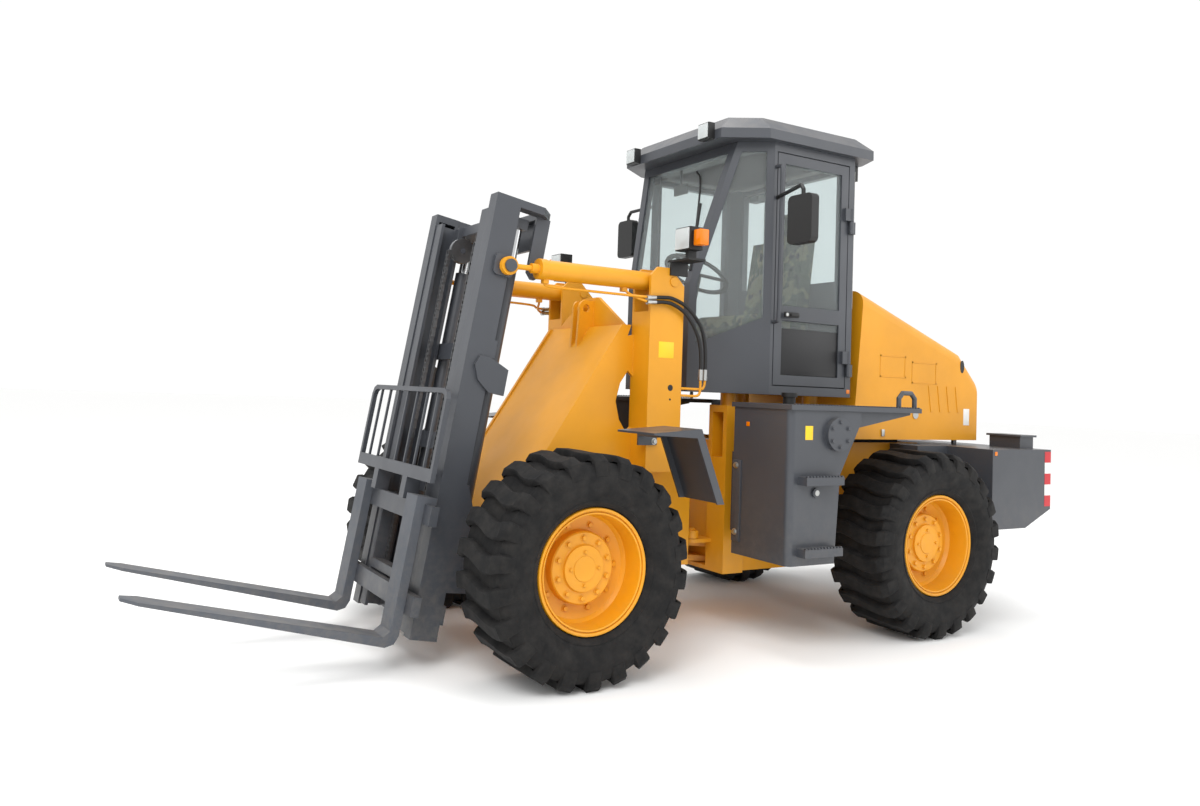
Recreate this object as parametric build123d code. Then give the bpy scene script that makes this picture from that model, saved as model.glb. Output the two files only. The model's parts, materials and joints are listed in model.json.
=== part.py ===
from build123d import *
import math
import os

# Articulated rough-terrain fork truck on a wheel loader chassis, in millimetres.
# +X points forward, +Y to the left and +Z up. Places are measured from the front axle's line on the ground,
# and each finished solid is moved so that the origin lies under the middle of the machine.

# Wheels and axles
wheelbase = 2370.0
wheel_y = 793.0
tyre_radius = 532.0
tyre_width = 404.0
bead_radius = 291.0
bead_width = 306.0
tread_depth = 34.0
shoulder_radius = 452.0
lug_count = 22
lug_width = 78.0
lug_kink = 52.0
tyre_flats_per_lug = 2
rim_flats = 32
rim_flange = 12.0
rim_wall = 16.0
rim_disc_y = 22.0
rim_disc = 18.0
hub_radius = 170.0
hub_cover_radius = 106.0
hub_reach = 46.0
hub_cover_reach = 18.0
spindle_radius = 90.0
spindle_seat = 80.0
axle_radius = 88.0
axle_bowl_radius = 175.0
axle_bowl_width = 300.0
axle_pad_height = 110.0
axle_pad_y = 300.0
axle_pad = 150.0
running_gap = 0.05
seat_gap = 0.3
side_gap = 5.0

# Mast: rails stand on a pivot low on the front frame and lean back at rest
mast_pivot_x = 330.0
mast_pivot_z = 430.0
mast_lean = 9.8
rail_front = 272.0
rail_depth = 140.0
rail_outer_y = 413.0
rail_width = 80.0
rail_flange = 20.0
rail_web = 18.0
mast_foot = -329.0
mast_head = 1866.0
mast_gap = 6.0
inner_drop = 66.0
inner_rail_width = 80.0
yoke_thick = 40.0
yoke_back = -84.0
yoke_bar = 58.0
yoke_corner = 78.0
yoke_cheek_foot = 1500.0
mast_plate = 16.0
mast_tie_levels = (-250.0, 330.0, 1050.0)
mast_tie_height = 90.0
hinge_plate = 22.0
hinge_boss_radius = 66.0
hinge_pin_radius = 32.0
lift_barrel_radius = 40.0
lift_rod_radius = 27.0
lift_cylinder_x = 68.0
lift_cylinder_y = 285.0
lift_shelf_z = -60.0
lift_shelf = 34.0
lift_barrel_top = 1560.0
crosshead_height = 54.0
sheave_radius = 62.0
sheave_width = 34.0
sheave_y = 168.0
sheave_x = 152.0
sheave_z = 1660.0
sheave_pin_radius = 16.0
chain_width = 26.0
chain_plate = 24.0
chain_waist = 16.0
chain_links = 12
chain_anchor_z = -60.0

# Carriage, forks and load guard, in the mast's own upright frame
carriage_half = 505.0
carriage_bar_x = 292.0
carriage_bar = 42.0
upper_bar_top = 300.0
lower_bar_foot = -208.0
carriage_bar_height = 92.0
carriage_cheek = 24.0
carriage_cheek_y = 200.0
carriage_cheek_back = 190.0
lift_clear = 12.0
roller_radius = 45.6
roller_width = 46.0
roller_levels = (-140.0, 250.0)
roller_pin_radius = 18.0
fork_y = 358.0
fork_width = 132.0
fork_thick = 46.0
fork_tip_thick = 12.0
fork_length = 1180.0
fork_heel_z = -371.0
fork_rise = 3.0
fork_hook = 34.0
fork_bend = 60.0
guard_foot = 405.0
guard_head = 853.0
guard_bar = 24.0
guard_rung = 12.0
guard_sill = 62.0
guard_rungs = 7
guard_half = 512.0
guard_stand = 26.0
guard_corner = 50.0
guard_post = 60.0

# Front frame
plate = 20.0
frame_half = 386.0
nose_radius = 64.0
frame_sill_z = 642.0
brow_x = -513.0
brow_z = 1709.0
brow_back = 62.0
frame_rear_x = -1010.0
frame_rear_top = 1010.0
arch_depth = 200.0
tower_y = 446.0
tower_gap = 124.0
tower_plate = 18.0
tower_front_x = -590.0
tower_rear_x = -812.0
tower_top = 2018.0
tower_foot = 930.0
tower_round = 46.0
tower_web_top = 1780.0
brow_ear_gap = 44.0
brow_ear = 18.0
brow_ear_radius = 46.0
brow_ear_bore = 22.0
brow_ear_rise = 106.0
ridge_rise = 170.0
ridge_half = 80.0
ridge_foot = 347.0
lens_width = 105.0
lens_height = 330.0
lens_foot = 1130.0

# Tilt cylinders between the towers and the mast
tilt_base_x = -742.0
tilt_base_z = 1945.0
tilt_eye_x = 152.0
tilt_eye_z = 1514.0
tilt_barrel_radius = 50.0
tilt_rod_radius = 25.0
tilt_barrel_start = 60.0
tilt_barrel_end = 800.0
tilt_pin_radius = 26.0
tilt_eye_radius = 46.0
tilt_eye_thick = 28.0
tilt_eye_gap = 3.0
tilt_rod_pin_radius = 18.0
tilt_pin_play = 11.0
tilt_neck = 124.0

# Articulation hitch and steering cylinders
hitch_x = -wheelbase / 2
hitch_levels = (420.0, 900.0)
hitch_plate = 44.0
hitch_gap = 5.0
hitch_radius = 105.0
hitch_pin_radius = 42.0
hitch_ear = 34.0
steer_base = (45.0, 250.0)
steer_eye = (725.0, 190.0)
steer_z = 540.0
steer_barrel_radius = 38.0
steer_rod_radius = 19.0
steer_pin_radius = 22.0
steer_eye_radius = 42.0
steer_eye_thick = 44.0
steer_barrel_length = 430.0
steer_ear = 22.0
steer_neck = 66.0
steer_ear_gap = 3.0

# Front fenders and lamps
fender_y0 = 690.0
fender_y1 = 985.0
fender_front_x = -290.0
fender_bend_x = -575.0
fender_rear_x = -727.0
fender_top = 1182.0
fender_foot = 818.0
fender_plate = 10.0
fender_lip = 44.0
fender_arm = 12.0
lamp_size = 120.0
lamp_depth = 84.0
lamp_x = -700.0
lamp_y = 640.0
lamp_z = 2160.0
lamp_lens = 12.0
indicator_width = 58.0
lamp_arm = 12.0

# Rear frame
column_front = -1252.0
column_depth = 150.0
column_y0 = 250.0
column_y1 = 400.0
column_top = 1290.0
column_foot = 330.0
rear_half = 352.0
rear_plate = 22.0
rear_sill = 650.0
rear_top = 1080.0
rear_end = -2960.0
belly_thick = 24.0
cab_mount_radius = 46.0
cab_post_x = -2010.0
cab_post = 110.0
engine_length = 590.0
engine_half = 250.0
engine_foot = 720.0
engine_top = 1500.0
engine_front = -2300.0

# Counterweight
weight_half = 875.0
weight_front = -2975.0
weight_rear = -3575.0
weight_foot = 582.0
weight_top = 1075.0
weight_cut_x = 262.0
weight_cut_z = 112.0
weight_wing_front = -2690.0
weight_wing_y = 560.0
weight_wing_foot = 760.0
weight_box_y0 = 565.0
weight_box_y1 = 775.0
weight_box_front = -3405.0
weight_box_rear = -3545.0
weight_box_top = 1150.0
weight_box_lid = 12.0
weight_box_lip = 14.0
tow_slot_height = 110.0
tow_slot_half = 90.0
tow_slot_depth = 160.0
tow_pin_radius = 20.0
tow_z = 700.0

# Tanks, decks, steps and rails
tank_front = -1150.0
tank_y0 = 577.0
tank_y1 = 990.0
tank_foot = 490.0
tank_top = 1288.0
tank_rear_top = -1665.0
tank_rear_mid = -1512.0
tank_rear_foot = -1482.0
tank_bend_z = 950.0
tank_round = 34.0
tank_flange = 12.0
tank_cover_radius = 88.0
tank_cover = 26.0
tank_cover_x = -1480.0
tank_cover_z = 1165.0
step_levels = (540.0, 905.0)
step_depth = 60.0
step_thick = 42.0
step_length = 270.0
step_x = -1345.0
deck = 26.0
deck_front = -1140.0
deck_rear = -2135.0
deck_y1 = 1004.0
deck_y0 = 562.0
rail_tube = 13.0
rail_rise = 84.0
rail_length = 130.0
rail_x = -2058.0
rail_bend = 30.0

# Cab: walls stand on a plan outline, and the windscreen leans back above its knee
cab_floor = 1362.0
cab_top = 2808.0
cab_floor_thick = 60.0
cab_wall = 46.0
cab_nose_x = -1035.0
cab_nose_half = 295.0
cab_post_front = -1412.0
cab_half = 560.0
cab_side_rear = -2068.0
cab_rear = -2150.0
cab_rear_half = 478.0
screen_knee = 1990.0
screen_head_x = -1240.0
screen_head_half = 440.0
glass = 6.0
glass_inset = 10.0
frame_bar = 44.0
screen_sill = 1620.0
quarter_sill_front = 1640.0
quarter_sill_rear = 1800.0
window_drop = 56.0
window_head = cab_top - window_drop
side_sill = 1860.0
rear_sill_z = 2080.0
door_front = -1440.0
door_rear = -2016.0
door_foot = 1418.0
door_head = window_head
door_gap = 6.0
door_thick = 40.0
door_bar = 58.0
door_rail_rise = 372.0
door_rail_z = door_foot + door_rail_rise
door_rail = 86.0
hinge_knuckle_radius = 13.0
hinge_knuckle = 150.0
hinge_levels = (1560.0, 2420.0)
roof_front = -1102.0
roof_rear = -2235.0
roof_half = 604.0
roof_nose_half = 455.0
roof_shoulder_x = -1330.0
roof_tail_half = 470.0
roof_edge = 56.0
roof_crown = 84.0
roof_crown_inset = 90.0
roof_lamp_y = 352.0
roof_lamp = 92.0
roof_lamp_depth = 70.0
roof_lamp_reach = 44.0
seat_x = -1800.0
seat_half = 240.0
seat_top = 1850.0
wheel_ring_radius = 195.0
wheel_ring_tube = 15.0
wheel_ring_x = -1330.0
wheel_ring_z = 2090.0
wheel_ring_tilt = 30.0
mirror_y = 890.0
mirror_places = (("left", -1300.0, 2300.0), ("right", -1438.0, 2432.0))
mirror_height = 262.0
mirror_width = 170.0
mirror_depth = 52.0
mirror_tube = 11.0

# Hood
hood_front = -2262.0
hood_rear = -3385.0
hood_half = 484.0
hood_foot = 1108.0
hood_top_front = 2034.0
hood_top_rear = 1690.0
hood_wall = 14.0
hood_round = 90.0
hood_tail_round = 150.0
hood_nose_lean = 74.0
hood_hinge_z = 1142.0
hood_hinge_radius = 19.0
hood_hinge_back = 24.0
hood_hinge_y = 300.0
hood_pin_radius = 11.0
hood_ear = 16.0
hood_ear_half = 18.0
grille_slats = 7
grille_half = 330.0
grille_foot = 1230.0
grille_slot = 34.0

nodes = {}


def block(x0, x1, y0, y1, z0, z1):
    """A box between two corners."""
    return Pos((x0 + x1) / 2, (y0 + y1) / 2, (z0 + z1) / 2) * Box(abs(x1 - x0), abs(y1 - y0), abs(z1 - z0))


def side_prism(points, y0, y1):
    """An outline in X and Z, drawn out along Y."""
    outline = make_face(Polyline(*[(x, y0, z) for x, z in points], close=True))
    return extrude(outline, y1 - y0, dir=(0, 1, 0))


def plan_prism(points, z0, z1):
    """An outline in X and Y, drawn out along Z."""
    outline = make_face(Polyline(*[(x, y, z0) for x, y in points], close=True))
    return extrude(outline, z1 - z0, dir=(0, 0, 1))


def front_prism(points, x0, x1):
    """An outline in Y and Z, drawn out along X."""
    outline = make_face(Polyline(*[(x0, y, z) for y, z in points], close=True))
    return extrude(outline, x1 - x0, dir=(1, 0, 0))


def bar(start, end, radius):
    """A round bar between two points."""
    axis = Vector(*end) - Vector(*start)
    return Solid.make_cylinder(radius, axis.length, Plane(origin=start, z_dir=axis))


def cross_bar(x, z, y0, y1, radius):
    """A round bar along Y."""
    return bar((x, y0, z), (x, y1, z), radius)


def upright(x, y, z0, z1, radius):
    """A round bar along Z."""
    return bar((x, y, z0), (x, y, z1), radius)


def bent_tube(points, bends, radius):
    """A round tube of straight runs, with each corner cut by a short run."""
    path = [Vector(*points[0])]
    for before, corner, after in zip(points, points[1:], points[2:]):
        middle = Vector(*corner)
        path.append(middle + (Vector(*before) - middle).normalized() * bends)
        path.append(middle + (Vector(*after) - middle).normalized() * bends)
    path.append(Vector(*points[-1]))
    runs = [bar(tuple(a), tuple(b), radius) for a, b in zip(path, path[1:])]
    knots = [Pos(*tuple(point)) * Sphere(radius) for point in path[1:-1]]
    tube = runs[0]
    for piece in runs[1:] + knots:
        tube = tube + piece
    return tube


def opposite(shape):
    """The same piece on the right-hand side."""
    return mirror(shape, about=Plane.XZ)


def pair(shape):
    """A left piece and its right twin."""
    return Compound([*shape.solids(), *opposite(shape).solids()])


def faceted_ring(profile, flats):
    """A ring of flat faces about Y: profile holds (radius, y), with the radius met at the flats' middles."""
    grow = 1 / math.cos(math.pi / flats)

    def corner(point, step):
        angle = 2 * math.pi * (step + 0.5) / flats
        return (point[0] * grow * math.cos(angle), point[1], point[0] * grow * math.sin(angle))

    faces = []
    for a, b in zip(profile, profile[1:] + profile[:1]):
        for step in range(flats):
            corners = [corner(a, step), corner(b, step), corner(b, step + 1), corner(a, step + 1)]
            faces.append(Face(Wire.make_polygon([Vector(*point) for point in corners])))
    return Solid(Shell(faces))


def flat_bar(x, z, y0, y1, radius, flats=16):
    """A bar along Y with flat sides."""
    outline = Pos(x, y1, z) * Rot(90, 0, 0) * RegularPolygon(radius, flats)
    return extrude(outline, abs(y1 - y0), dir=(0, -1, 0))


# Tyre: a faceted carcass with wavy lugs from shoulder to shoulder
half_tyre = tyre_width / 2
tread_radius = tyre_radius - tread_depth
tread_half = half_tyre - 38
carcass = faceted_ring(
    [
        (bead_radius, -bead_width / 2),
        (bead_radius, bead_width / 2),
        (shoulder_radius - 80, half_tyre - 4),
        (tread_radius, tread_half),
        (tread_radius, -tread_half),
        (shoulder_radius - 80, 4 - half_tyre),
    ],
    lug_count * tyre_flats_per_lug,
)
lug_envelope = faceted_ring(
    [
        (shoulder_radius - 22, -half_tyre),
        (shoulder_radius - 22, half_tyre),
        (tyre_radius - 30, half_tyre - 6),
        (tyre_radius, tread_half),
        (tyre_radius, -tread_half),
        (tyre_radius - 30, 6 - half_tyre),
    ],
    lug_count,
)
# Stations across the tread: place along Y as a share of the half width, and the lug's shift round the tyre
lug_stations = ((-1.1, -0.5), (-0.15, 0.5), (1.1, -0.5))
lug_edge = [(share * half_tyre, shift * lug_kink) for share, shift in lug_stations]
lug_outline = [(y, s + lug_width / 2) for y, s in lug_edge] + [(y, s - lug_width / 2) for y, s in lug_edge[::-1]]
lug = front_prism(lug_outline, shoulder_radius - 40, tyre_radius + 20) & lug_envelope
lugs = [Rot(0, 360 * (step + 0.25) / lug_count, 0) * lug for step in range(lug_count)]
tyre = carcass.fuse(*[solid for piece in lugs for solid in piece.solids()])
tyre = Rot(0, 360 * -0.25 / lug_count + 90, 0) * tyre

# Rim: flanges, a deep dish and the hub drum with its cover
flange_face = bead_width / 2 + rim_flange
seat_radius = bead_radius * math.cos(math.pi / rim_flats) - seat_gap
dish_radius = seat_radius - 2 * rim_wall
rim_profile = [
    (seat_radius, -flange_face),
    (seat_radius, flange_face),
    (dish_radius + rim_wall, flange_face),
    (dish_radius, flange_face - 2 * rim_wall),
    (dish_radius, rim_disc_y),
    (hub_radius, rim_disc_y),
    (hub_radius, rim_disc_y + hub_reach),
    (hub_cover_radius, rim_disc_y + hub_reach),
    (hub_cover_radius, rim_disc_y + hub_reach + hub_cover_reach),
    (spindle_radius, rim_disc_y + hub_reach + hub_cover_reach),
    (spindle_radius, rim_disc_y - rim_disc),
    (dish_radius, rim_disc_y - rim_disc),
    (dish_radius, -flange_face),
]
spindle_end = rim_disc_y - rim_disc + spindle_seat
hub_inner = rim_disc_y - rim_disc
rim = faceted_ring(rim_profile, rim_flats)
hub_core = cross_bar(0, 0, hub_inner, rim_disc_y + hub_reach + hub_cover_reach, spindle_radius + 8)
hub_core -= cross_bar(0, 0, hub_inner - 1, spindle_end - 20, spindle_radius + running_gap)
rim = rim - cross_bar(0, 0, hub_inner - 1, spindle_end - 20, spindle_radius + running_gap)
rim = rim + hub_core

wheel_z = tyre_radius
wheel_places = (
    ("front_left", 0.0, 1),
    ("front_right", 0.0, -1),
    ("rear_left", -wheelbase, 1),
    ("rear_right", -wheelbase, -1),
)
for name, x, side in wheel_places:
    place = Pos(x, side * wheel_y, wheel_z)
    nodes["tyre_" + name] = place * (tyre if side > 0 else opposite(tyre))
    nodes["rim_" + name] = place * (rim if side > 0 else opposite(rim))


def axle(x):
    """A drive axle: bowl, tapered arms, spindles and spring pads."""
    half_bowl = axle_bowl_width / 2
    arm_end = wheel_y + hub_inner - side_gap
    arm = flat_bar(x, wheel_z, half_bowl - 5, half_bowl + 70, (axle_bowl_radius + axle_radius) / 2)
    arm += flat_bar(x, wheel_z, half_bowl, arm_end, axle_radius + 6)
    arm += flat_bar(x, wheel_z, arm_end - 60, arm_end, hub_radius - 20)
    arm += cross_bar(x, wheel_z, arm_end - 5, wheel_y + spindle_end - 24, spindle_radius)
    arm += block(
        x - axle_pad / 2, x + axle_pad / 2, axle_pad_y, frame_half, wheel_z, wheel_z + axle_pad_height
    )
    bowl = flat_bar(x, wheel_z, -half_bowl, half_bowl, axle_bowl_radius)
    return bowl + arm + opposite(arm)


nodes["front_axle"] = axle(0)
nodes["rear_axle"] = axle(-wheelbase)

# Mast, drawn upright about its pivot
lean = Pos(mast_pivot_x, 0, mast_pivot_z) * Rot(0, -mast_lean, 0)
rail_back = rail_front - rail_depth
rail_inner_y = rail_outer_y - rail_width
outer_rail = block(rail_back, rail_front, rail_inner_y, rail_outer_y, mast_foot, mast_head)
outer_rail -= block(
    rail_back + rail_flange,
    rail_front - rail_flange,
    rail_inner_y - 1,
    rail_outer_y - rail_web,
    mast_foot - 1,
    mast_head - yoke_thick,
)
hinge_y0 = frame_half + side_gap
hinge_y1 = hinge_y0 + hinge_plate
hinge_ear = side_prism(
    [(rail_back + 30, -100), (rail_back + 30, 420), (rail_back - 10, 420), (-46, 46), (0, -90)], hinge_y0, hinge_y1
)
hinge_ear += cross_bar(0, 0, hinge_y0, hinge_y1, hinge_boss_radius)
hinge_pin = cross_bar(0, 0, frame_half - plate - 8, hinge_y1 + 8, hinge_pin_radius)
boss_y = tower_y - tilt_eye_thick / 2 - tilt_eye_gap
tilt_boss = block(rail_back - 18, rail_back + 92, rail_outer_y - 1, boss_y, tilt_eye_z - 54, tilt_eye_z + 54)
tilt_boss = fillet(tilt_boss.edges().filter_by(Axis.Y), 24)
keeper_y = tower_y + tilt_eye_thick / 2 + tilt_eye_gap
tilt_boss += cross_bar(tilt_eye_x, tilt_eye_z, boss_y - 1, keeper_y + 1, tilt_rod_pin_radius)
tilt_boss += cross_bar(tilt_eye_x, tilt_eye_z, keeper_y, keeper_y + 12, tilt_rod_pin_radius + 14)
guard_plate = side_prism(
    [
        (rail_back + 90, 1000),
        (rail_back + 60, 930),
        (rail_back - 10, 880),
        (rail_back - 96, 880),
        (rail_back - 96, 1010),
        (rail_back + 10, 1050),
        (rail_back + 70, 1050),
    ],
    rail_outer_y - 1,
    rail_outer_y + mast_plate,
)
rail_side = outer_rail + hinge_ear + hinge_pin + tilt_boss + guard_plate
yoke_inner = rail_inner_y + mast_gap
yoke = plan_prism(
    [
        (rail_front, rail_outer_y - 30),
        (rail_front - 30, rail_outer_y),
        (yoke_back + yoke_corner, rail_outer_y),
        (yoke_back, rail_outer_y - yoke_corner),
        (yoke_back, yoke_corner - rail_outer_y),
        (yoke_back + yoke_corner, -rail_outer_y),
        (rail_front - 30, -rail_outer_y),
        (rail_front, 30 - rail_outer_y),
    ],
    mast_head - yoke_thick,
    mast_head,
)
yoke -= block(
    yoke_back + yoke_bar, rail_front + 1, -yoke_inner, yoke_inner, mast_head - yoke_thick - 1, mast_head + 1
)
for side in (-1, 1):
    yoke += side_prism(
        [
            (yoke_back + 4, mast_head - yoke_thick + 1),
            (yoke_back + 84, mast_head - yoke_thick + 1),
            (yoke_back + 84, yoke_cheek_foot + 30),
            (yoke_back + 54, yoke_cheek_foot),
            (yoke_back + 34, yoke_cheek_foot),
            (yoke_back + 4, yoke_cheek_foot + 30),
        ],
        min(side * yoke_inner, side * (yoke_inner + mast_plate)),
        max(side * yoke_inner, side * (yoke_inner + mast_plate)),
    )
yoke += block(
    yoke_back + 4, yoke_back + 4 + mast_plate, -yoke_inner, yoke_inner, yoke_cheek_foot + 180, mast_head - yoke_thick + 1
)
shelf = block(
    lift_cylinder_x - 44, rail_back, -hinge_y0 + 40, hinge_y0 - 40, lift_shelf_z - lift_shelf, lift_shelf_z
)
shelf += block(rail_back - 40, rail_back, -rail_outer_y, rail_outer_y, lift_shelf_z - lift_shelf, lift_shelf_z)
ties = [
    block(rail_back - mast_plate, rail_back, -rail_outer_y, rail_outer_y, level, level + mast_tie_height)
    for level in mast_tie_levels
]
outer_mast = rail_side + opposite(rail_side) + yoke + shelf
for tie in ties:
    outer_mast += tie
nodes["outer_mast"] = lean * outer_mast
lift_barrel = upright(lift_cylinder_x, lift_cylinder_y, lift_shelf_z, lift_barrel_top, lift_barrel_radius)
lift_barrel -= upright(
    lift_cylinder_x, lift_cylinder_y, lift_barrel_top - 60, lift_barrel_top + 1, lift_rod_radius + running_gap
)
nodes["lift_barrels"] = lean * pair(lift_barrel)

# Inner mast, with its crosshead on the lift rods
inner_front = rail_front - mast_gap
inner_back = rail_back + mast_gap
inner_y1 = rail_inner_y - mast_gap
inner_y0 = inner_y1 - inner_rail_width
inner_head = mast_head - inner_drop
inner_foot = mast_foot + 10
inner_flange = rail_flange - 2
inner_rail = block(inner_back, inner_front, inner_y0, inner_y1, inner_foot, inner_head)
inner_rail -= block(
    inner_back + inner_flange,
    inner_front - inner_flange,
    inner_y0 - 1,
    inner_y1 - rail_web,
    inner_foot - 1,
    inner_head + 1,
)
crosshead = block(
    lift_cylinder_x - 40, inner_back + inner_flange, -inner_y1, inner_y1, inner_head - crosshead_height, inner_head
)
inner_tie_z = (inner_foot + 20, 560.0)
inner_mast = inner_rail + opposite(inner_rail) + crosshead
for level in inner_tie_z:
    inner_mast += block(
        inner_back, inner_back + inner_flange, -inner_y0 - 10, inner_y0 + 10, level, level + mast_tie_height
    )
cheek = block(
    inner_back,
    sheave_x + sheave_pin_radius + 14,
    sheave_y + sheave_width / 2 + side_gap,
    sheave_y + sheave_width / 2 + side_gap + 14,
    sheave_z - 40,
    inner_head,
)
cheek += cross_bar(
    sheave_x, sheave_z, sheave_y - sheave_width / 2 - 2, sheave_y + sheave_width / 2 + side_gap + 2, sheave_pin_radius
)
inner_mast += cheek + opposite(cheek)
nodes["inner_mast"] = lean * inner_mast
lift_rod = upright(
    lift_cylinder_x, lift_cylinder_y, lift_barrel_top - 60 + side_gap, inner_head - crosshead_height, lift_rod_radius
)
nodes["lift_rods"] = lean * pair(lift_rod)
groove = 7.0
sheave_half = sheave_width / 2
sheave = faceted_ring(
    [
        (sheave_pin_radius + running_gap, -sheave_half),
        (sheave_radius + groove, -sheave_half),
        (sheave_radius, groove - sheave_half),
        (sheave_radius, sheave_half - groove),
        (sheave_radius + groove, sheave_half),
        (sheave_pin_radius + running_gap, sheave_half),
    ],
    18,
)
sheave = Pos(sheave_x, sheave_y, sheave_z) * sheave
nodes["chain_sheaves"] = lean * pair(sheave)

# Leaf chains: a scalloped front run from each sheave to the carriage
chain_x = sheave_x + sheave_radius + groove + chain_plate / 2 + seat_gap
chain_head = sheave_z
chain_foot = chain_anchor_z
chain_pitch = (chain_head - chain_foot) / chain_links
chain_edge = []
for link in range(chain_links):
    base = chain_foot + link * chain_pitch
    chain_edge.append((chain_waist / 2, base))
    chain_edge.append((chain_plate / 2, base + chain_pitch / 2))
chain_edge.append((chain_waist / 2, chain_head))
chain_outline = [(chain_x + x, z) for x, z in chain_edge] + [(chain_x - x, z) for x, z in chain_edge[::-1]]
chain = side_prism(chain_outline, sheave_y - chain_width / 2, sheave_y + chain_width / 2)
nodes["lift_chains"] = lean * pair(chain)

# Carriage: two bars on roller cheeks
bar_front = carriage_bar_x + carriage_bar
upper_bar = block(
    carriage_bar_x, bar_front, -carriage_half, carriage_half, upper_bar_top - carriage_bar_height, upper_bar_top
)
lower_bar = block(
    carriage_bar_x, bar_front, -carriage_half, carriage_half, lower_bar_foot, lower_bar_foot + carriage_bar_height
)
carriage = upper_bar + lower_bar
cheek_out = carriage_cheek_y + carriage_cheek
carriage_cheeks = block(
    carriage_cheek_back, carriage_bar_x, carriage_cheek_y, cheek_out, lower_bar_foot, upper_bar_top - lift_clear
)
roller_x = (inner_front + inner_back) / 2
roller_y0 = inner_y0 + 2
for level in roller_levels:
    carriage_cheeks += cross_bar(roller_x, level, cheek_out - 1, roller_y0 + 1, roller_pin_radius)
    carriage_cheeks += cross_bar(roller_x, level, roller_y0, roller_y0 + roller_width, roller_radius)
carriage += carriage_cheeks + opposite(carriage_cheeks)
carriage += block(
    chain_x - chain_plate / 2,
    carriage_bar_x,
    -cheek_out,
    cheek_out,
    chain_foot - carriage_bar_height / 2,
    chain_foot,
)
nodes["carriage"] = lean * carriage

# Forks: hooked on the bars, with a blade that thins towards its tip
shank_back = bar_front + seat_gap
shank_front = shank_back + fork_thick
blade_rise = math.tan(math.radians(fork_rise))
blade_tip_x = shank_front + fork_length
blade_top = fork_heel_z + fork_thick
fork_outline = [
    (shank_back, upper_bar_top + fork_hook),
    (shank_back, fork_heel_z + fork_bend),
    (shank_back + fork_bend * 0.3, fork_heel_z + fork_bend * 0.3),
    (shank_back + fork_bend, fork_heel_z),
    (blade_tip_x, blade_top + fork_length * blade_rise - fork_tip_thick),
    (blade_tip_x, blade_top + fork_length * blade_rise),
    (shank_front + fork_bend * 0.5, blade_top),
    (shank_front, blade_top + fork_bend * 0.5),
    (shank_front, upper_bar_top + fork_hook),
]
fork = side_prism(fork_outline, fork_y - fork_width / 2, fork_y + fork_width / 2)
tip_cut = fork_width * 0.28
for edge in (-1, 1):
    y = fork_y + edge * fork_width / 2
    fork -= plan_prism(
        [
            (blade_tip_x - tip_cut * 2, y + edge),
            (blade_tip_x + 1, y + edge),
            (blade_tip_x + 1, y - edge * tip_cut),
        ],
        fork_heel_z - 1,
        upper_bar_top,
    )
hook = block(
    carriage_bar_x - 16, shank_front, fork_y - fork_width / 2, fork_y + fork_width / 2, upper_bar_top, upper_bar_top + fork_hook
)
fork += hook
fork = fork.solid() if hasattr(fork, "solid") else fork
nodes["fork_left"] = lean * fork
nodes["fork_right"] = lean * opposite(fork)

# Load guard: a sill, posts, a head rail and upright rungs
guard_x = carriage_bar_x + carriage_bar + guard_stand
guard_back = guard_x - guard_bar / 2
guard_front = guard_x + guard_bar / 2


def guard_outline(half, foot, head, corner):
    """The (y, z) outline of the guard, with its two upper corners cut."""
    return [
        (-half, foot),
        (-half, head - corner),
        (-half + corner * 0.3, head - corner * 0.3),
        (-half + corner, head),
        (half - corner, head),
        (half - corner * 0.3, head - corner * 0.3),
        (half, head - corner),
        (half, foot),
    ]


guard = front_prism(guard_outline(guard_half, guard_foot, guard_head, guard_corner), guard_back, guard_front)
guard -= front_prism(
    guard_outline(
        guard_half - guard_bar, guard_foot + guard_sill, guard_head - guard_bar, guard_corner - guard_bar / 2
    ),
    guard_back - 1,
    guard_front + 1,
)
for side in (-1, 1):
    post_y = side * carriage_cheek_y
    guard += block(
        carriage_bar_x + 4, guard_front, post_y - guard_post / 2, post_y + guard_post / 2, upper_bar_top, guard_foot + 1
    )
for rung in range(guard_rungs):
    y = -guard_half + 2 * guard_half * (rung + 1) / (guard_rungs + 1)
    guard += block(
        guard_x - guard_rung / 2, guard_x + guard_rung / 2, y - guard_rung / 2, y + guard_rung / 2, guard_foot, guard_head
    )
nodes["load_guard"] = lean * guard

# Front frame: side plates, a slanted brow plate, towers and the hitch tongue
plate_y0 = frame_half - plate
brow_run = (mast_pivot_x - 40 - brow_x) / (brow_z - mast_pivot_z - nose_radius)
side_outline = [
    (mast_pivot_x, mast_pivot_z - nose_radius),
    (mast_pivot_x, mast_pivot_z + nose_radius),
    (mast_pivot_x - 40, mast_pivot_z + nose_radius),
    (brow_x, brow_z),
    (brow_x - 60, brow_z),
    (tower_front_x + 40, brow_z - arch_depth * 0.3),
    (tower_front_x - 10, brow_z - arch_depth * 0.25),
    (tower_rear_x, brow_z - arch_depth * 0.25),
    (tower_rear_x, frame_rear_top + 120),
    (frame_rear_x, frame_rear_top),
    (frame_rear_x, hitch_levels[0] - hitch_plate / 2),
    (-axle_pad / 2 - 70, hitch_levels[0] - hitch_plate / 2),
    (-axle_pad / 2 - 70, frame_sill_z),
    (axle_pad / 2 + 60, frame_sill_z),
    (axle_pad / 2 + 60, mast_pivot_z - nose_radius),
]
side_plate = side_prism(side_outline, plate_y0, frame_half)
side_plate += cross_bar(mast_pivot_x, mast_pivot_z, plate_y0, frame_half, nose_radius)
side_plate -= cross_bar(mast_pivot_x, mast_pivot_z, plate_y0 - 1, frame_half + 1, hinge_pin_radius + running_gap)
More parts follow.
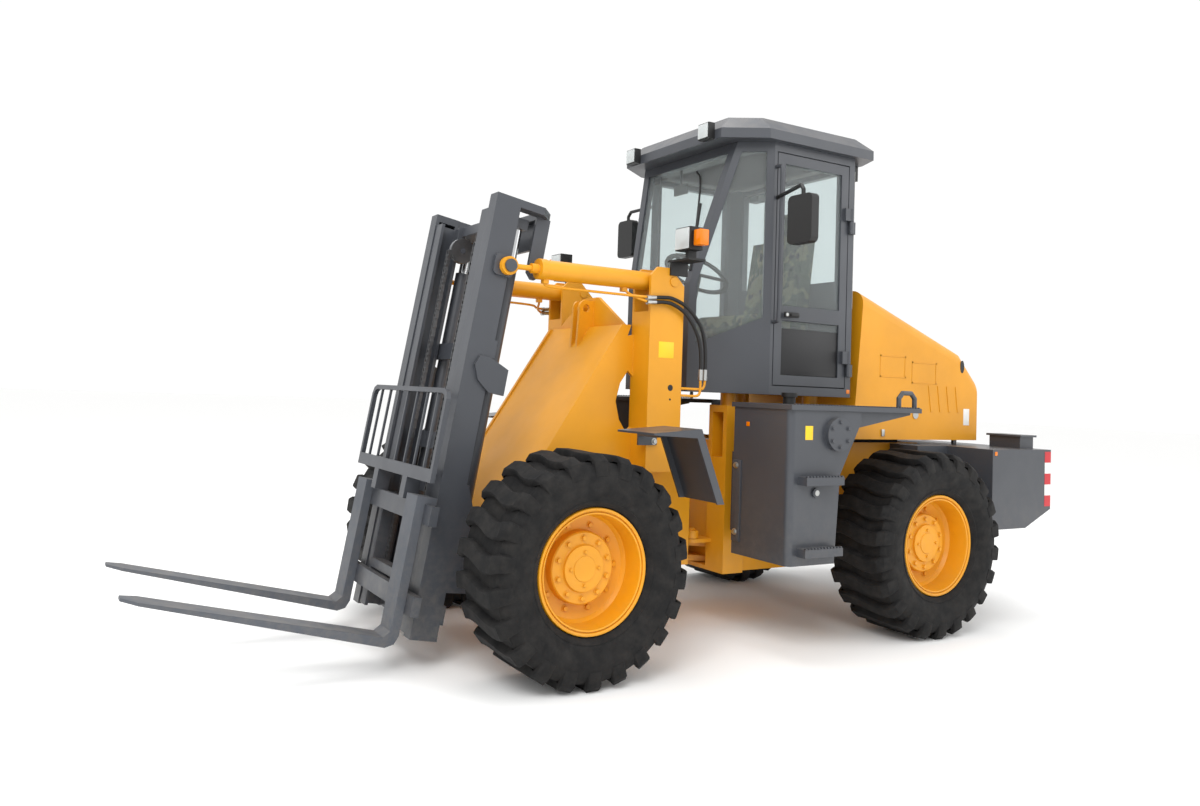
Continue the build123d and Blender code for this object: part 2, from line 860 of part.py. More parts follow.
brow_plate = side_prism(
    [
        (mast_pivot_x - 60, mast_pivot_z + nose_radius + 30),
        (brow_x - 16, brow_z),
        (brow_x - brow_back, brow_z),
        (brow_x - brow_back, brow_z - plate),
        (brow_x - 16 - plate, brow_z - plate),
        (mast_pivot_x - 60 - plate * 1.3, mast_pivot_z + nose_radius + 30),
    ],
    -plate_y0 - 1,
    plate_y0 + 1,
)
# Each tower is two plates with the tilt cylinder between them, tied by a web behind
tower_y0 = tower_y - tower_gap / 2 - tower_plate
tower_y1 = tower_y + tower_gap / 2 + tower_plate
tower_outline = [
    (tower_front_x, tower_foot),
    (tower_front_x, tower_top - tower_round),
    (tower_front_x - tower_round, tower_top),
    (tower_rear_x + tower_round * 2, tower_top),
    (tower_rear_x, tower_top - tower_round * 2),
    (tower_rear_x, tower_foot),
]
tower = side_prism(tower_outline, tower_y0, tower_y0 + tower_plate)
tower += side_prism(tower_outline, tower_y1 - tower_plate, tower_y1)
tower -= cross_bar(tilt_base_x, tilt_base_z, tower_y0 - 1, tower_y1 + 1, tilt_pin_radius + running_gap)
tower += block(
    tower_rear_x, tower_rear_x + tower_plate, tower_y0, tower_y1, tower_foot, tilt_base_z - tilt_barrel_radius - 90
)
tower += block(tower_front_x - tower_plate, tower_front_x, tower_y0, tower_y1, tower_foot, tower_web_top)
tower += block(tower_rear_x, tower_front_x, frame_half - 1, tower_y1, tower_foot, tower_foot + tower_plate)
lens_cut = side_prism(
    [
        (tower_front_x + lens_width, lens_foot + lens_height / 2),
        (tower_front_x + lens_width * 0.75, lens_foot + lens_height * 0.8),
        (tower_front_x + lens_width * 0.3, lens_foot + lens_height),
        (tower_front_x - 20, lens_foot + lens_height * 0.86),
        (tower_front_x - 20, lens_foot + lens_height * 0.14),
        (tower_front_x + lens_width * 0.3, lens_foot),
        (tower_front_x + lens_width * 0.75, lens_foot + lens_height * 0.2),
    ],
    plate_y0 - 4,
    frame_half + 1,
)
ridge = front_prism(
    [
        (-ridge_foot, brow_z - 4),
        (-ridge_half, brow_z + ridge_rise),
        (ridge_half, brow_z + ridge_rise),
        (ridge_foot, brow_z - 4),
    ],
    brow_x - brow_back,
    brow_x - brow_back + plate,
)
ridge_front = brow_x - brow_back + plate
ear_pin_x = ridge_front + brow_ear_radius + 6
ear_pin_z = brow_z + brow_ear_rise
brow_ears = Compound(
    [
        (
            side_prism(
                [
                    (brow_x + 66, brow_z - 130),
                    (ear_pin_x + brow_ear_radius - 2, ear_pin_z),
                    (ear_pin_x, ear_pin_z + brow_ear_radius - 2),
                    (ridge_front - 2, ear_pin_z + brow_ear_radius - 2),
                    (ridge_front - 2, brow_z - 14),
                    (brow_x - 26, brow_z - 14),
                ],
                y,
                y + brow_ear,
            )
            + cross_bar(ear_pin_x, ear_pin_z, y, y + brow_ear, brow_ear_radius)
            - cross_bar(ear_pin_x, ear_pin_z, y - 1, y + brow_ear + 1, brow_ear_bore)
        ).solid()
        for y in (brow_ear_gap / 2, -brow_ear_gap / 2 - brow_ear)
    ]
)
tongue_ends = []
for level in hitch_levels:
    lug_plate = plan_prism(
        [
            (frame_rear_x + 160, -plate_y0 - 1),
            (frame_rear_x + 160, plate_y0 + 1),
            (frame_rear_x + 30, plate_y0 + 1),
            (frame_rear_x - 20, 190),
            (hitch_x, hitch_radius),
            (hitch_x, -hitch_radius),
            (frame_rear_x - 20, -190),
            (frame_rear_x + 30, -plate_y0 - 1),
        ],
        level - hitch_plate / 2,
        level + hitch_plate / 2,
    )
    lug_plate += upright(hitch_x, 0, level - hitch_plate / 2, level + hitch_plate / 2, hitch_radius)
    lug_plate -= upright(hitch_x, 0, level - hitch_plate, level + hitch_plate, hitch_pin_radius + running_gap)
    tongue_ends.append(lug_plate)
cross_wall = block(
    frame_rear_x + 150, frame_rear_x + 170, -plate_y0 - 1, plate_y0 + 1, hitch_levels[1], frame_rear_top + 60
)
steer_eye_x = hitch_x + steer_eye[0]
ear_half = steer_eye_thick / 2 + steer_ear_gap
steer_ears = []
for z0 in (steer_z + ear_half, steer_z - ear_half - steer_ear):
    steer_ears.append(block(steer_eye_x - 50, steer_eye_x + 60, steer_eye[1] - 60, plate_y0 + 1, z0, z0 + steer_ear))
front_frame = side_plate - lens_cut + tower
for ear in steer_ears:
    front_frame += ear
front_frame = front_frame + opposite(front_frame) + brow_plate + cross_wall + ridge
for lug_plate in tongue_ends:
    front_frame += lug_plate
for ear in brow_ears.solids():
    front_frame += ear
nodes["front_frame"] = front_frame

# Tilt cylinders: base eye in the tower, clevis over the mast's tongue
lean_angle = math.radians(mast_lean)
eye_x = mast_pivot_x + tilt_eye_x * math.cos(lean_angle) - tilt_eye_z * math.sin(lean_angle)
eye_z = mast_pivot_z + tilt_eye_x * math.sin(lean_angle) + tilt_eye_z * math.cos(lean_angle)
tilt_length = math.hypot(eye_x - tilt_base_x, eye_z - tilt_base_z)
tilt_angle = math.degrees(math.atan2(eye_z - tilt_base_z, eye_x - tilt_base_x))
tilt_place = Pos(tilt_base_x, tower_y, tilt_base_z) * Rot(0, -tilt_angle, 0)
inner_half = tower_gap / 2 - 3
tilt_barrel = bar((tilt_barrel_start, 0, 0), (tilt_barrel_end, 0, 0), tilt_barrel_radius)
tilt_barrel += cross_bar(0, 0, -inner_half + 8, inner_half - 8, tilt_eye_radius)
tilt_barrel += block(0, tilt_barrel_start + 6, -24, 24, -tilt_eye_radius + 8, tilt_eye_radius - 8)
tilt_barrel += cross_bar(0, 0, -tower_gap / 2 - tower_plate - 6, tower_gap / 2 + tower_plate + 6, tilt_pin_radius)
tilt_barrel += bar((tilt_barrel_end - 40, 0, 0), (tilt_barrel_end, 0, 0), tilt_barrel_radius + 3)
tilt_barrel -= bar((tilt_barrel_end - 500, 0, 0), (tilt_barrel_end + 1, 0, 0), tilt_rod_radius + running_gap)
eye_side = tilt_eye_thick / 2
tilt_rod = bar((tilt_barrel_end - 495, 0, 0), (tilt_length - tilt_neck, 0, 0), tilt_rod_radius)
tilt_rod += bar((tilt_length - tilt_neck - 1, 0, 0), (tilt_length - tilt_eye_radius + 6, 0, 0), eye_side)
tilt_rod += cross_bar(tilt_length, 0, -eye_side, eye_side, tilt_eye_radius)
tilt_rod -= cross_bar(tilt_length, 0, -eye_side - 1, eye_side + 1, tilt_rod_pin_radius + tilt_pin_play)
for name, flip in (("left", False), ("right", True)):
    for kind, shape in (("barrel", tilt_barrel), ("rod", tilt_rod)):
        placed = tilt_place * shape
        nodes["tilt_" + kind + "_" + name] = opposite(placed) if flip else placed

# Steering cylinders beside the hitch
steer_dx = steer_eye[0] - steer_base[0]
steer_dy = steer_eye[1] - steer_base[1]
steer_length = math.hypot(steer_dx, steer_dy)
steer_angle = math.degrees(math.atan2(steer_dy, steer_dx))
steer_place = Pos(hitch_x + steer_base[0], steer_base[1], steer_z) * Rot(0, 0, steer_angle)
eye_half = steer_eye_thick / 2
steer_barrel = upright(0, 0, -eye_half, eye_half, steer_eye_radius)
steer_barrel += block(20, steer_neck + 4, -18, 18, 4 - eye_half, eye_half - 4)
steer_barrel += bar((steer_neck, 0, 0), (steer_barrel_length, 0, 0), steer_barrel_radius)
steer_barrel -= upright(0, 0, -eye_half - 1, eye_half + 1, steer_pin_radius + running_gap)
steer_barrel -= bar((steer_barrel_length - 330, 0, 0), (steer_barrel_length + 1, 0, 0), steer_rod_radius + running_gap)
steer_rod = bar((steer_barrel_length - 200, 0, 0), (steer_length - 20, 0, 0), steer_rod_radius)
steer_rod += upright(steer_length, 0, -eye_half, eye_half, steer_eye_radius)
for name, flip in (("left", False), ("right", True)):
    for kind, shape in (("barrel", steer_barrel), ("rod", steer_rod)):
        placed = steer_place * shape
        nodes["steer_" + kind + "_" + name] = opposite(placed) if flip else placed

# Front fenders: a top sheet, a falling tail and an outer lip, on arms from the frame
fender_line = [
    (fender_front_x, fender_top - 22),
    (fender_bend_x, fender_top),
    (fender_rear_x, fender_foot),
]
fender_edge = [
    (fender_front_x, fender_top - 22 - fender_plate),
    (fender_bend_x + 6, fender_top - fender_plate),
    (fender_rear_x + fender_plate, fender_foot),
]
fender = side_prism(fender_line + fender_edge[::-1], fender_y0, fender_y1)
lip_inner = [
    (fender_front_x, fender_top - 22 - fender_plate),
    (fender_bend_x + fender_lip * 0.6, fender_top - fender_lip),
    (fender_rear_x + fender_lip, fender_foot),
]
for y in (fender_y0, fender_y1 - fender_plate):
    fender += side_prism(fender_line + lip_inner[::-1], y, y + fender_plate)
fender += block(
    tower_front_x - 60,
    fender_bend_x + 45,
    tower_y1 + seat_gap,
    tower_y1 + fender_arm,
    fender_top - 110,
    fender_top - 30,
)
fender += block(
    fender_bend_x + 5,
    fender_bend_x + 45,
    tower_y1 + seat_gap,
    fender_y0 + fender_plate,
    fender_top - 60,
    fender_top - 30,
)
nodes["front_fenders"] = pair(fender)

# Head lamps with side indicators, on arms from the tower tops
lamp = block(lamp_x - lamp_depth, lamp_x, lamp_y - lamp_size / 2, lamp_y + lamp_size / 2, lamp_z - lamp_size / 2, lamp_z + lamp_size / 2)
lamp += block(
    lamp_x - lamp_depth + 6,
    lamp_x - 20,
    lamp_y + lamp_size / 2 - 1,
    lamp_y + lamp_size / 2 + indicator_width,
    lamp_z - lamp_size / 3,
    lamp_z + lamp_size / 3,
)
lamp += block(
    lamp_x - lamp_depth,
    lamp_x - 30,
    lamp_y - lamp_arm,
    lamp_y + lamp_arm,
    lamp_z - lamp_size / 2 - 40,
    lamp_z - lamp_size / 2 + 1,
)
lamp += block(
    lamp_x - lamp_depth - 40,
    lamp_x - 10,
    tower_y1 - tower_plate,
    lamp_y + 40,
    lamp_z - lamp_size / 2 - 40 - lamp_arm,
    lamp_z - lamp_size / 2 - 40,
)
lamp += block(
    lamp_x - lamp_depth - 40,
    lamp_x - 10,
    tower_y1 + seat_gap,
    tower_y1 + lamp_arm,
    tower_top - 40,
    lamp_z - lamp_size / 2 - 40,
)
nodes["head_lamps"] = pair(lamp)

# Rear frame: front columns, side plates, belly plate, hitch ears and cab posts
column_rear = column_front - column_depth
column = block(column_rear, column_front, column_y0, column_y1, column_foot, column_top)
column -= block(column_rear + 22, column_front + 1, column_y0 + 30, column_y1 - 30, tank_bend_z + 40, column_top - 40)
rear_side = side_prism(
    [
        (column_rear + 1, column_foot),
        (column_rear + 1, rear_top),
        (rear_end, rear_top),
        (rear_end, rear_sill),
        (-wheelbase + axle_pad + 60, rear_sill),
        (-wheelbase + axle_pad + 240, column_foot),
    ],
    rear_half - rear_plate,
    rear_half,
)
rear_pad = block(
    -wheelbase - axle_pad / 2,
    -wheelbase + axle_pad / 2,
    axle_pad_y,
    rear_half,
    wheel_z + axle_pad_height,
    rear_sill + 1,
)
cab_stand = block(
    cab_post_x - cab_post / 2, cab_post_x + cab_post / 2, column_y0, rear_half, rear_top - 1, column_top
)
mounts_xy = ((column_front - column_depth / 2, (column_y0 + column_y1) / 2), (cab_post_x, (column_y0 + rear_half) / 2))
steer_shelf = block(
    column_front - 1,
    hitch_x + steer_base[0],
    steer_base[1] - 46,
    steer_base[1] + 46,
    steer_z - eye_half - steer_ear - 2,
    steer_z - eye_half - 2,
)
steer_shelf += upright(
    hitch_x + steer_base[0], steer_base[1], steer_z - eye_half - steer_ear - 2, steer_z - eye_half - 2, 46
)
steer_shelf += upright(
    hitch_x + steer_base[0], steer_base[1], steer_z - eye_half - 3, steer_z + eye_half + 12, steer_pin_radius
)
rear_half_set = column + rear_side + rear_pad + cab_stand + steer_shelf
for x, y in mounts_xy:
    rear_half_set += upright(x, y, column_top - 1, cab_floor - seat_gap, cab_mount_radius)
rear_frame = rear_half_set + opposite(rear_half_set)
rear_frame += block(
    -wheelbase + axle_pad + 260, column_front, -column_y0 - 1, column_y0 + 1, column_foot, column_foot + belly_thick
)
rear_frame += block(column_rear, column_front - 60, -column_y0 - 1, column_y0 + 1, column_foot, rear_top)
rear_frame += block(rear_end, rear_end + rear_plate, -rear_half, rear_half, rear_sill, rear_top)
for level in hitch_levels:
    for z0 in (level + hitch_plate / 2 + hitch_gap, level - hitch_plate / 2 - hitch_gap - hitch_ear):
        ear = plan_prism(
            [
                (column_front - 61, -190),
                (column_front - 61, 190),
                (hitch_x, hitch_radius - 10),
                (hitch_x, 10 - hitch_radius),
            ],
            z0,
            z0 + hitch_ear,
        )
        ear += upright(hitch_x, 0, z0, z0 + hitch_ear, hitch_radius - 10)
        rear_frame += ear
    rear_frame += upright(
        hitch_x,
        0,
        level - hitch_plate / 2 - hitch_gap - hitch_ear,
        level + hitch_plate / 2 + hitch_gap + hitch_ear,
        hitch_pin_radius,
    )
nodes["rear_frame"] = rear_frame

# Engine: one plain block on feet between the side plates
engine = block(
    engine_front - engine_length, engine_front, -engine_half, engine_half, engine_foot, engine_top
)
engine = fillet(engine.edges().filter_by(Axis.X), 40)
foot_y = rear_half - rear_plate
engine += block(engine_front - 140, engine_front - 40, -foot_y, foot_y, engine_foot + 60, engine_foot + 120)
engine += block(
    engine_front - engine_length + 40, engine_front - engine_length + 140, -foot_y, foot_y, engine_foot + 60, engine_foot + 120
)
nodes["engine_block"] = engine

# Counterweight: a wide slab behind the wheels with a chamfered foot and wings beside the frame
weight = side_prism(
    [
        (weight_front, weight_foot),
        (weight_front, weight_top),
        (weight_rear, weight_top),
        (weight_rear, weight_foot + weight_cut_z),
        (weight_rear + weight_cut_x, weight_foot),
    ],
    -weight_half,
    weight_half,
)
for side in (-1, 1):
    weight += block(
        weight_front - 1, weight_wing_front, side * (rear_half + seat_gap), side * weight_wing_y, weight_wing_foot, weight_top
    )
tail_box = block(weight_box_rear, weight_box_front, weight_box_y0, weight_box_y1, weight_top - 1, weight_box_top)
tail_box += block(
    weight_box_rear - weight_box_lip,
    weight_box_front + weight_box_lip,
    weight_box_y0 - weight_box_lip,
    weight_box_y1 + weight_box_lip,
    weight_box_top - 1,
    weight_box_top + weight_box_lid,
)
weight += tail_box + opposite(tail_box)
# Hinge ears for the hood stand on the slab, each with a pin for the hood's knuckle
hood_axis_x = hood_rear - hood_hinge_back
for side in (-1, 1):
    ear_y = side * hood_hinge_y
    ear_y0 = ear_y - hood_ear / 2
    ear_y1 = ear_y + hood_ear / 2
    weight += block(hood_axis_x - hood_ear_half, hood_axis_x + hood_ear_half, ear_y0, ear_y1, weight_top - 1, hood_hinge_z)
    weight += cross_bar(hood_axis_x, hood_hinge_z, ear_y0, ear_y1, hood_ear_half)
    weight += cross_bar(hood_axis_x, hood_hinge_z, min(ear_y, ear_y + side * 50), max(ear_y, ear_y + side * 50), hood_pin_radius)
weight -= block(
    weight_rear - 1,
    weight_rear + tow_slot_depth,
    -tow_slot_half,
    tow_slot_half,
    tow_z + 60,
    tow_z + 60 + tow_slot_height,
)
tow_pin_x = weight_rear + tow_slot_depth / 2
weight -= upright(tow_pin_x, 0, tow_z - 30, weight_top + 1, tow_pin_radius)
nodes["counterweight"] = weight

# Side tanks with a rounded front corner and a rear edge cut back from the tyre
tank = side_prism(
    [
        (tank_front, tank_foot),
        (tank_front, tank_top),
        (tank_rear_top, tank_top),
        (tank_rear_top, tank_top - 60),
        (tank_rear_mid, tank_bend_z),
        (tank_rear_foot, tank_foot),
    ],
    tank_y0,
    tank_y1,
)
corner = tank.edges().filter_by(Axis.Z).sort_by(Axis.X)[-2:].sort_by(Axis.Y)[-1]
tank = fillet(corner, tank_round)
tank += cross_bar(tank_cover_x, tank_cover_z, tank_y1 - 1, tank_y1 + tank_cover, tank_cover_radius)
for level in step_levels:
    tank += block(
        step_x - step_length / 2, step_x + step_length / 2, tank_y1 - 1, tank_y1 + step_depth, level, level + step_thick
    )
tank += block(column_front - 60, column_front - 60 + tank_flange, column_y1 + seat_gap, tank_y0 + 1, tank_foot + 90, tank_top - 260)
tank_left = tank
tank_right = opposite(tank)
nodes["tank_left"] = tank_left
nodes["tank_right"] = tank_right

# Decks over the tanks, with a tapered bracket behind and a low hand rail
deck_plate = block(deck_rear, deck_front, deck_y0, deck_y1, tank_top, tank_top + deck)
deck_plate += side_prism(
    [
        (tank_rear_top - 2, tank_top + 1),
        (deck_rear + 40, tank_top + 1),
        (deck_rear + 40, tank_top - 12),
        (tank_rear_top - 2, tank_top - 90),
    ],
    tank_y1 - 40,
    tank_y1 - 28,
)
deck_plate += block(
    cab_post_x - 40, cab_post_x + 40, rear_half + seat_gap, deck_y0 + 1, tank_top - 30, tank_top + deck
)
rail_y = deck_y1 - 40
deck_z = tank_top + deck
hand_rail = bent_tube(
    [
        (rail_x - rail_length / 2, rail_y, deck_z - 4),
        (rail_x - rail_length / 2, rail_y, deck_z + rail_rise),
        (rail_x + rail_length / 2, rail_y, deck_z + rail_rise),
        (rail_x + rail_length / 2, rail_y, deck_z - 4),
    ],
    rail_bend,
    rail_tube,
)
deck_plate += hand_rail
nodes["decks"] = pair(deck_plate)

# Cab
screen_run = (cab_nose_x - screen_head_x) / (cab_top - screen_knee)
screen_stretch = math.hypot(1, screen_run)


def cab_body(inset, z0, z1):
    """The cab's outer form, or the same form drawn in by an even wall."""
    outline = make_face(
        Polyline(
            (cab_nose_x, -cab_nose_half, z0),
            (cab_nose_x, cab_nose_half, z0),
            (cab_post_front, cab_half, z0),
            (cab_side_rear, cab_half, z0),
            (cab_rear, cab_rear_half, z0),
            (cab_rear, -cab_rear_half, z0),
            (cab_side_rear, -cab_half, z0),
            (cab_post_front, -cab_half, z0),
            close=True,
        )
    )
    if inset:
        outline = offset(outline, -inset, kind=Kind.INTERSECTION)
    body = extrude(outline, z1 - z0, dir=(0, 0, 1))
    shift = inset * screen_stretch
    over = 200.0
    lean_cut = side_prism(
        [
            (cab_nose_x - shift, screen_knee),
            (cab_nose_x - shift + over, screen_knee - over / 4),
            (cab_nose_x - shift + over, cab_top + over),
            (cab_nose_x - shift - screen_run * (cab_top + over - screen_knee), cab_top + over),
        ],
        -cab_half,
        cab_half,
    )
    return body - lean_cut


quarter_dx = cab_nose_x - cab_post_front
quarter_dy = cab_half - cab_nose_half
quarter_length = math.hypot(quarter_dx, quarter_dy)
quarter_turn = math.degrees(math.atan2(quarter_dx, quarter_dy))
# The quarter window's own plane: its x runs forward along the wall from the door post, its z is up
quarter_plane = Plane(
    origin=(cab_post_front, cab_half, 0),
    x_dir=(quarter_dx, -quarter_dy, 0),
    z_dir=(-quarter_dy, -quarter_dx, 0),
)
head_share = (cab_nose_x - screen_head_x) / quarter_dx
head_run = quarter_length * (1 - head_share)
knee_run = quarter_length - frame_bar
quarter_outline = [
    (frame_bar, quarter_sill_rear),
    (knee_run, quarter_sill_front),
    (knee_run, screen_knee),
    (knee_run - (quarter_length - head_run) * (window_head - screen_knee) / (cab_top - screen_knee), window_head),
    (frame_bar, window_head),
]
quarter_face = make_face(Polyline(*[quarter_plane.from_local_coords((x, z, 0)) if quarter_plane.y_dir.Z > 0
                                    else quarter_plane.from_local_coords((x, -z, 0)) for x, z in quarter_outline], close=True))
quarter_cut = extrude(quarter_face, 120, both=True)
screen_cut = front_prism(
    [
        (-cab_nose_half + frame_bar, screen_sill),
        (cab_nose_half - frame_bar, screen_sill),
        (cab_nose_half - frame_bar, screen_knee),
        (screen_head_half - frame_bar - 20, window_head),
        (frame_bar + 20 - screen_head_half, window_head),
        (-cab_nose_half + frame_bar, screen_knee),
    ],
    screen_head_x - cab_wall - 60,
    cab_nose_x + 10,
)
side_cut = block(
    door_rear, door_front, -cab_half - 10, -cab_half + cab_wall + 10, side_sill, window_head
)
rear_cut = block(
    cab_rear - 10, cab_rear + cab_wall + 10, frame_bar - cab_rear_half, cab_rear_half - frame_bar, rear_sill_z, window_head
)
door_cut = block(
    door_rear - door_gap, door_front + door_gap, cab_half - cab_wall - 10, cab_half + 10, door_foot - door_gap, door_head + door_gap
)
cab_shell = cab_body(0, cab_floor, cab_top) - cab_body(cab_wall, cab_floor + cab_floor_thick, cab_top + 1)
for cut in (quarter_cut, opposite(quarter_cut), screen_cut, side_cut, rear_cut, door_cut):
    cab_shell -= cut
hinge_x = door_rear - door_gap - 8
hinge_y = cab_half + hinge_knuckle_radius + 1
for level in hinge_levels:
    cab_shell += upright(hinge_x, hinge_y, level - hinge_knuckle / 2, level - 1, hinge_knuckle_radius)
    cab_shell += block(
        hinge_x - 36, hinge_x, cab_half - 1, hinge_y, level - hinge_knuckle / 2, level - 1
    )
nodes["cab_shell"] = cab_shell
pane_skin = cab_body(glass_inset, cab_floor, cab_top) - cab_body(glass_inset + glass, cab_floor - 1, cab_top + 1)
nodes["windscreen"] = pane_skin & screen_cut
pane_list = []
for cut in (quarter_cut, opposite(quarter_cut), side_cut, rear_cut):
    pane_list.extend((pane_skin & cut).solids())
nodes["cab_windows"] = Compound(pane_list)

# Left door: a frame with an upper and a lower pane, hung on the rear post
door_y1 = cab_half
door_y0 = cab_half - door_thick
door = block(door_rear, door_front, door_y0, door_y1, door_foot, door_head)
upper_pane = (door_rear + door_bar, door_front - door_bar, door_rail_z + door_rail, door_head - door_bar)
lower_pane = (door_rear + door_bar, door_front - door_bar, door_foot + door_bar, door_rail_z)
door_panes = []
for x0, x1, z0, z1 in (upper_pane, lower_pane):
    door -= block(x0, x1, door_y0 - 1, door_y1 + 1, z0, z1)
    door_panes.append(block(x0, x1, door_y1 - glass_inset - glass, door_y1 - glass_inset, z0, z1))
for level in hinge_levels:
    door += upright(hinge_x, hinge_y, level + 1, level + hinge_knuckle / 2, hinge_knuckle_radius)
    door += block(hinge_x, door_rear + 40, door_y1 + 3, hinge_y + 6, level + 1, level + hinge_knuckle / 2)
    door += block(door_rear, door_rear + 40, door_y1 - 1, door_y1 + 4, level + 1, level + hinge_knuckle / 2)
nodes["door_left"] = door
nodes["door_glass"] = Compound([pane.solid() for pane in door_panes])

# Roof: an overhanging brim with a raised crown
brim = [
    (roof_front, -roof_nose_half),
    (roof_front, roof_nose_half),
    (roof_shoulder_x, roof_half),
    (roof_rear + 60, roof_half),
    (roof_rear, roof_tail_half),
    (roof_rear, -roof_tail_half),
    (roof_rear + 60, -roof_half),
    (roof_shoulder_x, -roof_half),
]
roof = plan_prism(brim, cab_top, cab_top + roof_edge)
brim_face = make_face(Polyline(*[(x, y, cab_top + roof_edge) for x, y in brim], close=True))
crown_face = Pos(0, 0, roof_crown) * offset(brim_face, -roof_crown_inset, kind=Kind.INTERSECTION)
roof += loft([brim_face, crown_face], ruled=True)
nodes["cab_roof"] = roof

# Roof lamps under the brim's front corners, and work lamps behind
roof_lamp_list = []
# Columns: x where the lamp starts, its depth forwards, y, foot
roof_lamp_places = (
    (roof_front + seat_gap, roof_lamp_reach, roof_lamp_y, cab_top + 4),
    (roof_rear + 8, roof_lamp_depth, cab_rear_half - 80, cab_top - roof_lamp - seat_gap),
)
for x, depth, y, foot in roof_lamp_places:
    body = block(x, x + depth, y - roof_lamp / 2, y + roof_lamp / 2, foot, foot + roof_lamp)
    roof_lamp_list.extend(body.solids())
    roof_lamp_list.extend(opposite(body).solids())
nodes["roof_lamps"] = Compound(roof_lamp_list)

# Seat on a box pedestal, and the steering column with its wheel
floor_z = cab_floor + cab_floor_thick
seat = block(seat_x - 200, seat_x + 200, -200, 200, floor_z, seat_top - 130)
seat += fillet(
    block(seat_x - 240, seat_x + 250, -seat_half, seat_half, seat_top - 131, seat_top).edges().filter_by(Axis.Y), 40
)
seat_back = side_prism(
    [
        (seat_x - 130, seat_top - 20),
        (seat_x - 240, seat_top - 20),
        (seat_x - 300, seat_top + 520),
        (seat_x - 210, seat_top + 520),
    ],
    -seat_half + 10,
    seat_half - 10,
)
head_rest = block(seat_x - 310, seat_x - 220, -130, 130, seat_top + 500, seat_top + 690)
nodes["seat"] = seat + seat_back + head_rest
column_run = math.tan(math.radians(wheel_ring_tilt))
column_drop = wheel_ring_z - floor_z
ring_place = Pos(wheel_ring_x, 0, wheel_ring_z) * Rot(0, -wheel_ring_tilt, 0)
ring_out = wheel_ring_radius + wheel_ring_tube
ring_in = wheel_ring_radius - wheel_ring_tube
ring = faceted_ring([(ring_out, -6), (ring_out, 6), (ring_in, 6), (ring_in, -6)], 24)
steering = ring_place * Rot(90, 0, 0) * ring
column_foot_x = wheel_ring_x + column_run * column_drop * 0.36
steering += bar((column_foot_x, 0, floor_z + 40), (wheel_ring_x, 0, wheel_ring_z), 34)
steering += block(column_foot_x - 70, column_foot_x + 70, -90, 90, floor_z, floor_z + 90)
for turn in (0, 120, 240):
    steering += ring_place * Rot(0, 0, turn) * block(0, wheel_ring_radius, -14, 14, -4, 4)
nodes["steering_column"] = steering

# Mirrors on bent arms from the front door posts
mirror_list = []
for side, mirror_x, mirror_z in mirror_places:
    arm_z = mirror_z + mirror_height / 2 + 60
    mirror_arm = bent_tube(
        [
            (cab_post_front - 30, cab_half - 2, arm_z),
            (mirror_x, mirror_y, arm_z),
            (mirror_x, mirror_y, mirror_z),
        ],
        30,
        mirror_tube,
    )
    mirror_head = block(
        mirror_x - mirror_depth / 2,
        mirror_x + mirror_depth / 2,
        mirror_y - mirror_width / 2,
        mirror_y + mirror_width / 2,
        mirror_z - mirror_height / 2,
        mirror_z + mirror_height / 2,
    )
    mirror_head = fillet(mirror_head.edges().filter_by(Axis.X), 30)
    mirror_arm -= cab_body(0, cab_floor, cab_top)
    side_mirror = mirror_arm + mirror_head
    mirror_list.extend((side_mirror if side == "left" else opposite(side_mirror)).solids())
nodes["mirrors"] = Compound(mirror_list)

# Hood: a tapered shell with a rounded tail, hinged low at the back
hood_profile = [
    (hood_front + hood_nose_lean, hood_foot),
    (hood_front, hood_top_front),
    (hood_rear + hood_tail_round, hood_top_rear),
    (hood_rear, hood_top_rear - hood_tail_round),
    (hood_rear, hood_foot),
]
hood = side_prism(hood_profile, -hood_half, hood_half)
long_edges = [
    edge
    for edge in hood.edges()
    if abs(abs(edge.center().Y) - hood_half) < 1 and edge.center().Z > hood_foot + 300 and edge.center().X < hood_front - 200
]
hood = fillet(long_edges, hood_round)
hood_core = side_prism(
    [
        (hood_front + hood_nose_lean + 50, hood_foot - 1),
        (hood_front + hood_nose_lean - hood_wall, hood_foot + 10),
        (hood_front - hood_wall, hood_top_front - hood_wall * 1.2),
        (hood_rear + hood_tail_round, hood_top_rear - hood_wall * 1.2),
        (hood_rear + hood_wall, hood_top_rear - hood_tail_round - 8),
        (hood_rear + hood_wall, hood_foot - 1),
    ],
    hood_wall - hood_half,
    hood_half - hood_wall,
)
core_edges = [
    edge
    for edge in hood_core.edges()
    if abs(abs(edge.center().Y) - hood_half + hood_wall) < 1
    and edge.center().Z > hood_foot + 300
    and edge.center().X < hood_front - 200
]
hood -= fillet(core_edges, hood_round - hood_wall)
grille_pitch = (hood_top_rear - hood_tail_round - grille_foot) / grille_slats
for slat in range(grille_slats):
    z = grille_foot + slat * grille_pitch
    hood -= block(hood_rear - 1, hood_rear + hood_wall + 1, -grille_half, grille_half, z, z + grille_slot)
for side in (-1, 1):
    y0 = side * (hood_hinge_y + hood_ear / 2 + 3)
    y1 = side * (hood_hinge_y + 46)
    hood += cross_bar(hood_axis_x, hood_hinge_z, min(y0, y1), max(y0, y1), hood_hinge_radius)
    hood += block(hood_axis_x, hood_rear + 4, y0, y1, hood_hinge_z - 15, hood_hinge_z + 15)
    hood -= cross_bar(hood_axis_x, hood_hinge_z, min(y0, y1) - 1, max(y0, y1) + 1, hood_pin_radius + running_gap)
nodes["hood"] = hood

# Finished pieces, moved so that the origin lies under the middle of the machine
tip_z = blade_top + fork_length * blade_rise - fork_tip_thick
tip_reach = mast_pivot_x + blade_tip_x * math.cos(lean_angle) - tip_z * math.sin(lean_angle)
frame_shift = -(tip_reach + weight_rear) / 2


